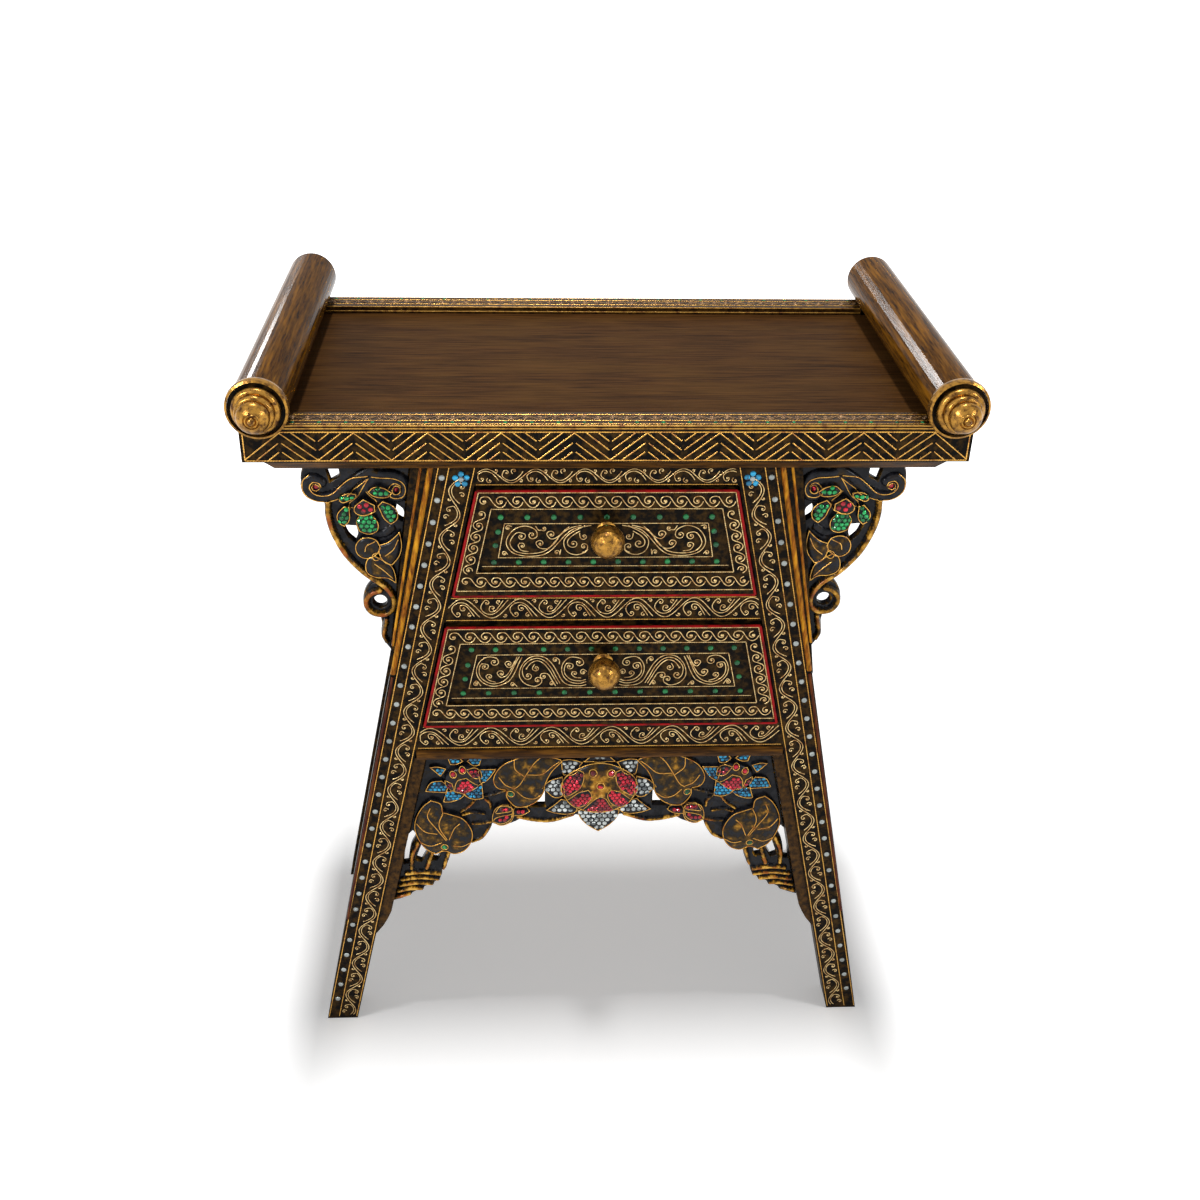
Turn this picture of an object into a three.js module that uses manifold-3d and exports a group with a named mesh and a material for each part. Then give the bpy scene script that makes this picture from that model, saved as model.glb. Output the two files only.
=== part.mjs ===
// An offering table: a tray top with a scroll roll on each end, splayed board legs,
// two drawers with slanting sides, a pierced lotus skirt and pierced wing brackets.
// Millimetres. +Z is up, the front faces -Y, and the origin is on the floor under the middle.
import * as THREE from 'three';
import { mergeVertices } from 'three/addons/utils/BufferGeometryUtils.js';
import Module from 'manifold-3d';

const wasm = await Module();
wasm.setup();

// Driving sizes of the top.
const topWidth = 630;
const topDepth = 334;
const apronBottom = 703;
const apronHeight = 30;
const apronThick = 22;
const cleatWidth = 12;
const cleatHeight = 9;
const trayDrop = 3;
const bandWidth = 27;
const bandThick = 5;
const bandRound = 1.5;
const corniceHeight = 13;
const corniceInset = 16;
const corniceBevel = 8;
const corniceEdge = 3;

// The rolls on the ends of the top.
const rollRadius = 24;
const rollCentreX = 295;
const rollOverhang = 11;
const rollBore = 6;
const rollBoreDepth = 20;
const finialPegGap = 1;
const collarWall = 2.2;
const collarLength = 9;
const collarOverhang = 4.4;
const collarBulge = 0.6;
const collarChamfer = 1;
const finialReach = 31;
const finialRadius = 20.7;

// The case. Its outside and the legs slope alike.
const caseDepth = 275;
const legDepth = 36;
const footOuter = 301;
const footInner = 267.5;
const outerSlope = 0.2065;
const innerSlope = 0.2227;
const railThick = 20;
const panelThick = 12;
const boardThick = 12;
const topRailBottom = 666;
const midRailTop = 552;
const midRailBottom = 523;
const bottomRailTop = 404;
const bottomRailBottom = 374;
const noseHeight = 11;
const noseReach = 4;

// The drawers.
const frontThick = 18;
const frontProud = 6;
const frontGap = 2;
const frameTop = 19;
const frameSide = 18;
const frameBottom = 27;
const fieldDrop = 3;
const boxWall = 10;
const boxBottom = 6;
const boxGroove = 4;
const boxTopGap = 14;
const boxSideGap = 3;
const boxEndGap = 6;
const boxBackDrop = 6;
const guideWidth = 9;
const guideHeight = 10;
const guideGap = 0.8;
const guideSetback = 5;
const upperKnobZ = 622.5;
const lowerKnobZ = 480;
const knobRadius = 15.5;
const knobNeck = 7.3;
const knobNeckRadius = 7;
const knobFootWide = 2.5;
const knobFootThick = 1.5;
const screwRadius = 2;
const screwHeadRadius = 4.5;
const screwHeadHeight = 2.5;
const screwTipGap = 2;
const screwHole = 0.3;

// The carvings under the case and beside the legs.
const carvingThick = 14;
const carvingSetback = 6;
const stripWidth = 11;
const stripFoot = 126;
const wingFoot = 462;
const wingStripFoot = 0.5;
const wingStripTop = 14.8;

// Clearances.
const seat = 0.3;
const slip = 0.5;
const touch = 0.05;

// Finishes, as plain colours.
function finish(color, roughness, metalness) {
  return new THREE.MeshStandardMaterial({ color, roughness, metalness });
}
const lacquer = finish('#1f1a14', 0.45, 0.2);
const gilt = finish('#8a6220', 0.4, 0.7);
const umberWood = finish('#4a2f17', 0.45, 0.05);
const bareWood = finish('#9a7a50', 0.7, 0);
const redLacquer = finish('#7d1712', 0.5, 0.05);
const goldLeaf = finish('#b98a3c', 0.3, 0.85);
const steel = finish('#9a9a98', 0.4, 0.9);

const table = new THREE.Group();
const halfWidth = topWidth / 2;
const halfDepth = topDepth / 2;
const apronTop = apronBottom + apronHeight;
const trayTop = apronTop - trayDrop;
const corniceBottom = apronBottom - corniceHeight;
const caseFront = -caseDepth / 2;
const caseBack = caseDepth / 2;
const legInside = (z) => footInner - innerSlope * z;
const legOutside = (z) => footOuter - outerSlope * z;

// Solids: joining and cutting.

function toSolid(geometry) {
  const bare = geometry.clone();
  bare.deleteAttribute('normal');
  bare.deleteAttribute('uv');
  const merged = mergeVertices(bare, 1e-4);
  const vertProperties = new Float32Array(merged.attributes.position.array);
  const triVerts = new Uint32Array(merged.index.array);
  return new wasm.Manifold(new wasm.Mesh({ numProp: 3, vertProperties, triVerts }));
}

function toGeometry(solid) {
  const mesh = solid.getMesh();
  const points = [];
  for (let i = 0; i < mesh.vertProperties.length; i += mesh.numProp) {
    points.push(mesh.vertProperties[i], mesh.vertProperties[i + 1], mesh.vertProperties[i + 2]);
  }
  const geometry = new THREE.BufferGeometry();
  geometry.setAttribute('position', new THREE.Float32BufferAttribute(points, 3));
  geometry.setIndex([...mesh.triVerts]);
  geometry.computeVertexNormals();
  return geometry;
}

const joined = (first, ...others) => others.reduce((sum, one) => sum.add(one), first);

function cutBy(first, ...others) {
  return others.reduce((left, one) => left.subtract(one), first);
}

// Pieces: most are boards drawn as seen from the front, in X and Z.

function outline(points) {
  return new THREE.Shape(points.map(([x, z]) => new THREE.Vector2(x, z)));
}

function board(shape, thick, curveSegments = 10) {
  return new THREE.ExtrudeGeometry(shape, { depth: thick, bevelEnabled: false, curveSegments });
}

function add(name, geometry, material) {
  const mesh = new THREE.Mesh(geometry, material);
  mesh.name = name;
  table.add(mesh);
  return mesh;
}

// A board seen from the front, whose back face lies at y = back.
function addFrontal(name, geometry, back, material) {
  const mesh = add(name, geometry, material);
  mesh.rotation.x = Math.PI / 2;
  mesh.position.y = back;
}

// A piece with one section in Y and Z, which runs along X and is centred.
function addLengthwise(name, section, length, material) {
  const mesh = add(name, board(section, length), material);
  mesh.rotation.set(Math.PI / 2, 0, Math.PI / 2, 'ZYX');
  mesh.position.x = -length / 2;
}

function addBox(name, low, high, material) {
  const size = high.map((value, i) => value - low[i]);
  const mesh = add(name, new THREE.BoxGeometry(...size), material);
  mesh.position.set(...low.map((value, i) => value + size[i] / 2));
}

// A turned piece whose axis runs along Y, with its own +Y end facing the front.
function addTurned(name, profile, segments, x, y, z, material) {
  const points = profile.map(([r, along]) => new THREE.Vector2(r, along));
  const mesh = add(name, new THREE.LatheGeometry(points, segments), material);
  mesh.rotation.z = Math.PI;
  mesh.position.set(x, y, z);
}

// A trapezium between the legs, from z0 to z1, with a gap to each leg.
function betweenLegs(z0, z1, gap) {
  const low = legInside(z0) - gap;
  const high = legInside(z1) - gap;
  return outline([[-low, z0], [low, z0], [high, z1], [-high, z1]]);
}

// The four aprons stand on the cornice board as the outer frame of the top. A cleat inside each
// carries the tray board.
const innerX = halfWidth - apronThick;
const innerY = halfDepth - apronThick;
const cleatTop = apronBottom + cleatHeight;

// A frame of four bars: the front and back ones run full length, and the sides butt between them.
function addFrame(name, outerX, outerY, width, bottom, top, material) {
  const insideX = outerX - width;
  const insideY = outerY - width;
  addBox(`${name}_front`, [-outerX, -outerY, bottom], [outerX, -insideY, top], material);
  addBox(`${name}_back`, [-outerX, insideY, bottom], [outerX, outerY, top], material);
  addBox(`${name}_left`, [-outerX, -insideY, bottom], [-insideX, insideY, top], material);
  addBox(`${name}_right`, [insideX, -insideY, bottom], [outerX, insideY, top], material);
}

addFrame('apron', halfWidth, halfDepth, apronThick, apronBottom, apronTop, lacquer);
addFrame('cleat', innerX, innerY, cleatWidth, apronBottom, cleatTop, bareWood);

// The tray board lies on the cleats, between the side aprons and the lips of the two bands.
const trayX = innerX - seat;
const trayY = halfDepth - bandWidth - seat;
addBox('tray_board', [-trayX, -trayY, cleatTop], [trayX, trayY, trayTop], umberWood);

// The raised bands run along the front and back edges, up to the rolls. Each caps its apron, and a
// lip behind the apron goes down beside the tray board to the cleat.
const bandTop = apronTop + bandThick;
const rollCentreZ = apronTop + rollRadius + seat;
const rollHalfChord = Math.sqrt(rollRadius ** 2 - (rollCentreZ - bandTop) ** 2);
const bandEnd = rollCentreX - rollHalfChord - slip;
const bandSection = (side) => outline([
  [halfDepth * side, apronTop], [halfDepth * side, bandTop - bandRound],
  [(halfDepth - bandRound) * side, bandTop], [(halfDepth - bandWidth) * side, bandTop],
  [(halfDepth - bandWidth) * side, cleatTop], [(innerY - seat) * side, cleatTop],
  [(innerY - seat) * side, apronTop],
]);

addLengthwise('band_front', bandSection(-1), 2 * bandEnd, gilt);
addLengthwise('band_back', bandSection(1), 2 * bandEnd, gilt);

// The cornice board under the top carries it on the case. Its edge narrows downwards.
const corniceX = halfWidth - corniceInset;
const corniceY = halfDepth - corniceInset / 2;
const corniceShoulder = apronBottom - corniceEdge;
const corniceSide = (half) => outline([
  [-half, apronBottom], [-half, corniceShoulder], [corniceBevel - half, corniceBottom],
  [half - corniceBevel, corniceBottom], [half, corniceShoulder], [half, apronBottom],
]);
const acrossFront = toSolid(board(corniceSide(corniceX), 2 * corniceY)
  .rotateX(Math.PI / 2).translate(0, corniceY, 0));
const acrossSide = toSolid(board(corniceSide(corniceY), 2 * corniceX)
  .rotateX(Math.PI / 2).rotateZ(Math.PI / 2).translate(-corniceX, 0, 0));
add('cornice_board', toGeometry(acrossFront.intersect(acrossSide)), umberWood);

// The rolls, each bored at its front for the finial's peg.
const rollFront = halfDepth + rollOverhang;
const rollLength = 2 * rollFront;
const rollProfile = [
  [0, 0], [rollRadius, 0], [rollRadius, rollLength], [rollBore, rollLength],
  [rollBore, rollLength - rollBoreDepth], [0, rollLength - rollBoreDepth], [0, 0],
];
const collarBore = rollRadius + seat;
const collarEdge = rollRadius + collarWall;
const collarProfile = [
  [collarBore, 0], [collarEdge, collarChamfer], [collarEdge + collarBulge, collarLength / 2],
  [collarEdge, collarLength - collarChamfer], [collarBore, collarLength], [collarBore, 0],
];
const collarPlace = collarLength - collarOverhang - rollFront;

// The finial steps down from a wide flange to a round boss, and has a peg behind. Each step is given
// as a share of the finial's radius and of its reach.
const pegRadius = rollBore - seat;
const pegLength = rollBoreDepth - finialPegGap;
const finialSeat = 0.9;
const finialSteps = [
  [0.94, 0.08], [1, 0.18], [0.99, 0.29], [0.9, 0.38], [0.77, 0.4], [0.8, 0.48], [0.78, 0.59], [0.69, 0.67],
  [0.65, 0.68], [0.68, 0.77], [0.64, 0.88], [0.51, 0.97], [0.34, 0.98], [0.3, 1],
];
const finialProfile = [
  [0, -pegLength], [pegRadius, -pegLength], [pegRadius, seat], [finialRadius * finialSeat, seat],
  ...finialSteps.map(([across, along]) => [finialRadius * across, finialReach * along]),
  [0, finialReach], [0, -pegLength],
];
for (const [side, word] of [[-1, 'left'], [1, 'right']]) {
  const x = rollCentreX * side;
  addTurned(`roll_${word}`, rollProfile, 40, x, rollFront, rollCentreZ, umberWood);
  addTurned(`roll_collar_${word}`, collarProfile, 40, x, collarPlace, rollCentreZ, gilt);
  addTurned(`roll_finial_${word}`, finialProfile, 32, x, -rollFront, rollCentreZ, gilt);
}

// The legs: four splayed boards under the cornice.
const legShape = (side) => outline([
  [footOuter * side, 0], [legOutside(corniceBottom) * side, corniceBottom],
  [legInside(corniceBottom) * side, corniceBottom], [footInner * side, 0],
]);
const frontLegBack = caseFront + legDepth;
for (const [side, word] of [[-1, 'left'], [1, 'right']]) {
  addFrontal(`leg_front_${word}`, board(legShape(side), legDepth), frontLegBack, lacquer);
  addFrontal(`leg_back_${word}`, board(legShape(side), legDepth), caseBack, lacquer);
}

// The front rails, and the rounded nose under the lowest one.
const railBack = caseFront + railThick;
function addRail(name, bottom, top) {
  addFrontal(name, board(betweenLegs(bottom, top, seat), railThick), railBack, lacquer);
}
addRail('rail_top', topRailBottom, corniceBottom);
addRail('rail_middle', midRailBottom, midRailTop);
addRail('rail_bottom', bottomRailBottom, bottomRailTop);
const noseBottom = bottomRailBottom - noseHeight;
const noseSection = new THREE.Shape();
noseSection.moveTo(railBack, noseBottom);
noseSection.lineTo(caseFront, noseBottom);
const noseMiddle = noseBottom + noseHeight / 2;
noseSection.absellipse(caseFront, noseMiddle, noseReach, noseHeight / 2, -Math.PI / 2, Math.PI / 2, true);
noseSection.lineTo(railBack, bottomRailBottom);
const noseHalf = legInside(bottomRailBottom) - seat;
addLengthwise('rail_nose', noseSection, 2 * noseHalf, gilt);

// The case's own panels: sloping sides between the legs, a back, and a board under each drawer.
const sideShape = (side) => {
  const inner = (z) => (legInside(z) + seat) * side;
  const outer = (z) => (legInside(z) + seat + panelThick) * side;
  return outline([[inner(noseBottom), noseBottom], [outer(noseBottom), noseBottom],
    [outer(corniceBottom), corniceBottom], [inner(corniceBottom), corniceBottom]]);
};
const sideBack = caseBack - legDepth;
const sideLength = caseDepth - 2 * legDepth;
for (const [side, word] of [[-1, 'left'], [1, 'right']]) {
  addFrontal(`side_panel_${word}`, board(sideShape(side), sideLength), sideBack, redLacquer);
}
const backInset = 8;
const backFace = caseBack - backInset;
const backPanelShape = betweenLegs(noseBottom, corniceBottom, seat);
addFrontal('back_panel', board(backPanelShape, panelThick), backFace, redLacquer);

const shelfDepth = backFace - panelThick - railBack;
function addShelf(name, top) {
  const shape = betweenLegs(top - boardThick, top, seat);
  addFrontal(name, board(shape, shelfDepth), railBack + shelfDepth, bareWood);
}
addShelf('shelf_upper', midRailTop);
addShelf('shelf_lower', bottomRailTop);

// A drawer: a slanting front on a straight box, with a ball knob that is screwed on.
const frontFace = caseFront - frontProud;
const frontBack = frontFace + frontThick;
const fieldFace = frontFace + fieldDrop;
const boxLength = shelfDepth - (frontBack - railBack) - boxEndGap;
const boxEnd = frontBack + boxLength;
const threadRadius = screwRadius + screwHole;

function addDrawerFront(word, low, high, knobZ) {
  const rim = betweenLegs(low, high, frontGap);
  const field = betweenLegs(low + frameBottom, high - frameTop, frontGap + frameSide);
  const hole = new THREE.Shape();
  hole.absarc(0, knobZ, threadRadius, 0, 2 * Math.PI);
  const sunk = toSolid(board(field, frontThick).translate(0, 0, frontThick - fieldDrop));
  const bored = toSolid(board(hole, 3 * frontThick).translate(0, 0, -frontThick));
  const front = cutBy(toSolid(board(rim, frontThick)), sunk, bored);
  addFrontal(`drawer_${word}_front`, toGeometry(front), frontBack, lacquer);
}

function addDrawerBox(word, boxHalf, boxLow, boxHigh) {
  for (const [side, hand] of [[-1, 'left'], [1, 'right']]) {
    const x0 = side < 0 ? -boxHalf : boxHalf - boxWall;
    const corner = [x0 + boxWall, boxEnd, boxHigh];
    addBox(`drawer_${word}_side_${hand}`, [x0, frontBack, boxLow], corner, bareWood);
  }
  const inside = boxHalf - boxWall;
  const floorLow = boxLow + boxGroove;
  const floorTop = floorLow + boxBottom;
  const backFront = boxEnd - boxWall;
  const backTop = boxHigh - boxBackDrop;
  addBox(`drawer_${word}_back`, [-inside, backFront, floorTop], [inside, boxEnd, backTop], bareWood);
  addBox(`drawer_${word}_bottom`, [-inside, frontBack, floorLow], [inside, boxEnd, floorTop], bareWood);
}

// The knob's screw comes from inside the drawer, through the front and into the ball.
const ballCentre = knobNeck + 0.95 * knobRadius;
const blindEnd = ballCentre - screwTipGap;
const ballSteps = 12;
const ballStart = Math.acos((ballCentre - knobNeck) / knobRadius) + 0.25;
const ballProfile = [];
for (let i = 0; i < ballSteps; i += 1) {
  const angle = (Math.PI - ballStart) * (1 - i / ballSteps);
  ballProfile.push([knobRadius * Math.sin(angle), ballCentre + knobRadius * Math.cos(angle)]);
}
const knobFoot = knobNeckRadius + knobFootWide;
const knobProfile = [
  [threadRadius, 0], [knobFoot, 0], [knobFoot, knobFootThick], [knobNeckRadius, 2 * knobFootThick],
  ...ballProfile, [0, ballCentre + knobRadius], [0, blindEnd], [threadRadius, blindEnd], [threadRadius, 0],
];
const screwLength = frontThick - fieldDrop + blindEnd - screwTipGap;
const screwProfile = [
  [0, -screwHeadHeight], [screwHeadRadius, -screwHeadHeight], [screwHeadRadius, 0],
  [screwRadius, 0], [screwRadius, screwLength], [0, screwLength], [0, -screwHeadHeight],
];

function addKnob(word, knobZ) {
  addTurned(`drawer_${word}_knob`, knobProfile, 28, 0, fieldFace - touch, knobZ, goldLeaf);
  addTurned(`drawer_${word}_knob_screw`, screwProfile, 16, 0, frontBack + touch, knobZ, steel);
}

// The guides lie on the shelf, close beside the drawer's box, and keep it straight.
function addGuides(word, shelf, boxHalf) {
  const near = boxHalf + guideGap;
  const front = railBack + guideSetback;
  const back = backFace - panelThick - seat;
  for (const [side, hand] of [[-1, 'left'], [1, 'right']]) {
    const x0 = side < 0 ? -near - guideWidth : near;
    const corner = [x0 + guideWidth, back, shelf + guideHeight];
    addBox(`guide_${word}_${hand}`, [x0, front, shelf], corner, bareWood);
  }
}

function addDrawer(word, shelf, ceiling, knobZ) {
  const low = shelf + frontGap;
  const high = ceiling - frontGap;
  const boxHalf = legInside(high) - frontGap - boxSideGap;
  addDrawerFront(word, low, high, knobZ);
  addDrawerBox(word, boxHalf, shelf + seat, high - boxTopGap);
  addKnob(word, knobZ);
  addGuides(word, shelf, boxHalf);
}
addDrawer('upper', midRailTop, topRailBottom, upperKnobZ);
addDrawer('lower', bottomRailTop, midRailBottom, lowerKnobZ);

// The moulded strips that frame the skirt, down the inside of each front leg.
const carvingFront = caseFront + carvingSetback;
const stripInner = (z) => legInside(z) - seat - stripWidth;
for (const [side, word] of [[-1, 'left'], [1, 'right']]) {
  const points = [
    [legInside(noseBottom) - seat, noseBottom - seat], [stripInner(noseBottom), noseBottom - seat],
    [stripInner(158), 158], [stripInner(148) + 2, 148], [stripInner(138) + 5, 138],
    [legInside(stripFoot) - seat, stripFoot],
  ].map(([x, z]) => [x * side, z]);
  addFrontal(`skirt_strip_${word}`, board(outline(points), railThick - 2), railBack, gilt);
}

// The skirt's carving: a pierced board with raised lotus forms. Low domes stand for flowers and leaves.
const archHalf = [[0, 284], [40, 280], [62, 278], [92, 274], [108, 273], [117, 262], [132, 247],
  [150, 238], [160, 226], [165, 208], [172, 200], [186, 190], [199, 181], [211, 172]];
const archEndZ = 168;
const skirtTop = noseBottom - seat;
const skirtEdge = (z) => stripInner(z) - seat;
const skirtRight = [...archHalf, [skirtEdge(archEndZ), archEndZ], [skirtEdge(skirtTop), skirtTop]];
const skirtShape = outline([...skirtRight, ...skirtRight.slice(1).reverse().map(([x, z]) => [-x, z])]);
const windowPoints = [
  [[57, 299], [72, 298], [60, 312]],
  [[193, 268], [186, 262], [198, 222], [205, 222]],
  [[184, 246], [179, 242], [186, 222], [193, 222]],
  [[172, 239], [166, 234], [171, 222], [177, 222]],
];
const through = (points, side) => toSolid(board(
  outline(points.map(([x, z]) => [x * side, z])), 3 * carvingThick).translate(0, 0, -carvingThick));
const skirtWindows = windowPoints.flatMap((points) => [through(points, -1), through(points, 1)]);

// A dome of a given half-size, sunk in the board's face, with its highest point reach in front of it.
function dome(x, z, halfX, halfZ, reach, turn = 0) {
  const ball = new THREE.SphereGeometry(1, 14, 8).scale(halfX, halfZ, reach);
  return toSolid(ball.rotateZ(turn).translate(x, z, carvingThick));
}

// A flat leaf or petal with a pointed tip, standing in front of the board's face.
function petal(x, z, length, width, reach, turn) {
  const shape = new THREE.Shape();
  shape.moveTo(0, -length * 0.5);
  shape.quadraticCurveTo(width * 0.75, -length * 0.1, 0, length * 0.5);
  shape.quadraticCurveTo(-width * 0.75, -length * 0.1, 0, -length * 0.5);
  return toSolid(board(shape, reach + 2, 4).rotateZ(turn).translate(x, z, carvingThick - 2));
}

const skirtForms = [];
const sepals = [
  [0, 287, 48, 34, Math.PI], [38, 305, 40, 26, -2.2], [46, 325, 34, 24, -1.55],
  [27, 348, 26, 24, -0.8], [0, 354, 22, 30, 0],
];
for (const side of [-1, 1]) {
  for (const [x, z, length, width, turn] of sepals) {
    if (x > 0 || side > 0) {
      skirtForms.push(petal(x * side, z, length, width, 2.5, turn * side));
    }
  }
  skirtForms.push(dome(74 * side, 333, 32, 27, 7, 0.5 * side));
  skirtForms.push(dome(160 * side, 272, 30, 35, 7, 0.2 * side));
  skirtForms.push(dome(93 * side, 288, 17, 12, 7, 0.3 * side));
  const points = 8;
  for (let i = 0; i < points; i += 1) {
    const angle = (i * 2 * Math.PI) / points;
    const x = 141 * side - 21 * Math.sin(angle);
    const z = 336 + 18 * Math.cos(angle);
    skirtForms.push(petal(x, z, 24, 19, 2.5, angle));
  }
  skirtForms.push(dome(140 * side, 338, 18, 16, 8));
  const ribs = 4;
  for (let i = 0; i < ribs; i += 1) {
    skirtForms.push(dome((188 + i * 5) * side, 208 - i * 8, 23 - i * 4, 4.2, 5, -0.12 * side));
  }
}
skirtForms.push(dome(0, 322, 38, 30, 12));
const skirtRoom = [[-skirtEdge(archEndZ), archEndZ], [skirtEdge(archEndZ), archEndZ],
  [skirtEdge(skirtTop), skirtTop], [-skirtEdge(skirtTop), skirtTop]];
const skirtSides = through(skirtRoom, 1);
const skirtBoard = joined(toSolid(board(skirtShape, carvingThick)), ...skirtForms).intersect(skirtSides);
const skirt = cutBy(skirtBoard, ...skirtWindows);
addFrontal('skirt_carving', toGeometry(skirt), carvingFront + carvingThick, lacquer);

// The wing brackets: a moulded strip on the leg's outer edge, and a pierced carving beyond it.
const wingTop = corniceBottom - seat;
const wingStripWide = (z) => wingStripFoot + (wingStripTop * (z - wingFoot)) / (wingTop - wingFoot);
const wingStripOuter = (z) => legOutside(z) + seat + wingStripWide(z);
function wingStrip(side) {
  const inner = (z) => legOutside(z) + seat;
  const points = [[inner(wingFoot), wingFoot], [wingStripOuter(wingFoot), wingFoot],
    [wingStripOuter(wingTop), wingTop], [inner(wingTop), wingTop]];
  return outline(points.map(([x, z]) => [x * side, z]));
}

function wingCarving(side) {
  const edge = (z) => wingStripOuter(z) + seat;
  const outer = [[edge(wingTop), wingTop], [262, wingTop], [270, 683], [274, 672], [271, 661], [262, 652],
    [253, 647], [254, 631], [249, 611], [237, 591], [223, 574], [224, 560], [227, 548], [224, 536],
    [216, 529], [215, 512], [211, 497], [edge(484), 484]];
  const shape = outline(outer.map(([x, z]) => [x * side, z]));
  const holes = [
    [[247, 679], [256, 675], [250, 669], [236, 673]],
    [[243, 634], [247, 628], [241, 609], [232, 601], [228, 612], [236, 620]],
    [[190, 648], [196, 650], [196, 634], [188, 636]],
    [[206, 552], [214, 552], [215, 545], [207, 543]],
  ];
  const windows = holes.map((points) => through(points, side));
  const forms = [
    dome(216 * side, 628, 11, 13, 6), dome(236 * side, 637, 8, 12, 5), dome(199 * side, 641, 9, 12, 5),
    dome(230 * side, 657, 11, 6, 5), dome(204 * side, 660, 12, 6, 5), dome(262 * side, 665, 11, 11, 5),
    dome(183 * side, 661, 8, 10, 5), dome(210 * side, 598, 6, 6, 7), dome(200 * side, 607, 13, 16, 4),
    dome(226 * side, 596, 9, 13, 4),
  ];
  const room = [
    [edge(wingFoot), wingFoot], [halfWidth, wingFoot], [halfWidth, wingTop], [edge(wingTop), wingTop],
  ];
  const carved = joined(toSolid(board(shape, carvingThick)), ...forms);
  return cutBy(carved.intersect(through(room, side)), ...windows);
}

for (const [side, word] of [[-1, 'left'], [1, 'right']]) {
  const carving = toGeometry(wingCarving(side));
  addFrontal(`wing_strip_front_${word}`, board(wingStrip(side), railThick), railBack, gilt);
  addFrontal(`wing_carving_front_${word}`, carving, carvingFront + carvingThick, lacquer);
}

// Only the front carries finials, so the table stands back by half their reach: that keeps the
// middle of the whole over the origin.
table.position.y = finialReach / 2;

export default table;
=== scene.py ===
# %% [markdown]
# This lesson dresses an offering table: black lacquer, raised gold threads and inlaid glass on a
# frame of plain boards. The frame comes packed, with every board at its real size and place, so the
# first thing to do is to load it. Nothing that follows moves those boards: new pieces are laid on
# them or stand in for them.

# %% Load the frame
import math

import bpy
import numpy as np
from mathutils import Matrix, Vector, geometry, kdtree


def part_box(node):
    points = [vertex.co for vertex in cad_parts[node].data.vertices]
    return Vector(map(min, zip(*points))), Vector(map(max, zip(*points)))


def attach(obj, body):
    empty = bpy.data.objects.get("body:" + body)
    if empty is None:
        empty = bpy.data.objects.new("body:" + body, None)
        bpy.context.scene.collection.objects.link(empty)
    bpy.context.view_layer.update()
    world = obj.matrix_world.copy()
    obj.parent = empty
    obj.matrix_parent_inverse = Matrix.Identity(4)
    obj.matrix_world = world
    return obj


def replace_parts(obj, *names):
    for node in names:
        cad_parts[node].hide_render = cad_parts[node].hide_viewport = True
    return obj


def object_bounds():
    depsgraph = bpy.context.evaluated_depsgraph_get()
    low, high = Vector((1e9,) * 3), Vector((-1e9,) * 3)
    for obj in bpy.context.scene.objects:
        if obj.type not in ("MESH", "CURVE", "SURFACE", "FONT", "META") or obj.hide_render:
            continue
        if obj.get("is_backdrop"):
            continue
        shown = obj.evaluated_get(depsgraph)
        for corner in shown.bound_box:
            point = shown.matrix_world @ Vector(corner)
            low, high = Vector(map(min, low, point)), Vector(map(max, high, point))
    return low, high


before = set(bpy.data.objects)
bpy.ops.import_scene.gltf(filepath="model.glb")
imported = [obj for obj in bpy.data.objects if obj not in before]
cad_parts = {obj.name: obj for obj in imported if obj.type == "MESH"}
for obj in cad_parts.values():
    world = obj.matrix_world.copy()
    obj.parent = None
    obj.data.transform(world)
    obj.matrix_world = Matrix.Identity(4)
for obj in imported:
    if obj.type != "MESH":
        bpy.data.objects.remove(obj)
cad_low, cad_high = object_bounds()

# %% [markdown]
# Blender measures in metres, and a table maker in millimetres. All the drawing below is done in
# millimetres and turned to metres once, when a mesh is made. The sizes that the boards already have
# are read back from them, so that the ornament lies on their real faces.

# %% Sizes of the boards
MM = 0.001


def edge(node, corner, axis):
    """One side of a board's box in millimetres. Corner 0 is low and 1 high, axis 0, 1, 2 is X, Y, Z."""
    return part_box(node)[corner][axis] / MM


LEG_FACE = edge("leg_front_left", 0, 1)
RAIL_FACE = edge("rail_top", 0, 1)
APRON_FACE = edge("apron_front", 0, 1)
APRON_BACK = edge("apron_back", 1, 1)
APRON_LOW = edge("apron_front", 0, 2)
APRON_TOP = edge("apron_front", 1, 2)
APRON_HALF = edge("apron_front", 1, 0)
BAND_TOP = edge("band_front", 1, 2)
BAND_HALF = edge("band_front", 1, 0)
DRAWER_FACE = edge("drawer_upper_front", 0, 1)
FIELD_DEPTH = 3
FIELD_FACE = DRAWER_FACE + FIELD_DEPTH
DEPTH_MIDDLE = (APRON_FACE + APRON_BACK) / 2
OUTER_AT_FLOOR = 301
OUTER_LEAN = 0.2065
INNER_AT_FLOOR = 267.5
INNER_LEAN = 0.2227


def leg_outer(z):
    """How far from the middle a leg's outer edge lies at that height."""
    return OUTER_AT_FLOOR - OUTER_LEAN * z


def leg_inner(z):
    """The same for the leg's inner edge."""
    return INNER_AT_FLOOR - INNER_LEAN * z


print("leg face", round(LEG_FACE, 1), "apron face", round(APRON_FACE, 1))
print("top of the bands", round(BAND_TOP, 1))

# %% [markdown]
# A material in Blender is a small network of nodes. Writing one out in full is long, so this helper
# makes a single node with its settings, and fills each input with a value or with the output of
# another node. Colours are chosen as they look on a screen, and the shader wants them linear, so one
# function turns them.

# %% Helpers for materials


def linear(code):
    """A screen colour such as #c9993f as the linear colour that a shader needs."""
    parts = [int(code[i:i + 2], 16) / 255 for i in (1, 3, 5)]
    return [p / 12.92 if p <= 0.04045 else ((p + 0.055) / 1.055) ** 2.4 for p in parts] + [1.0]


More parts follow.
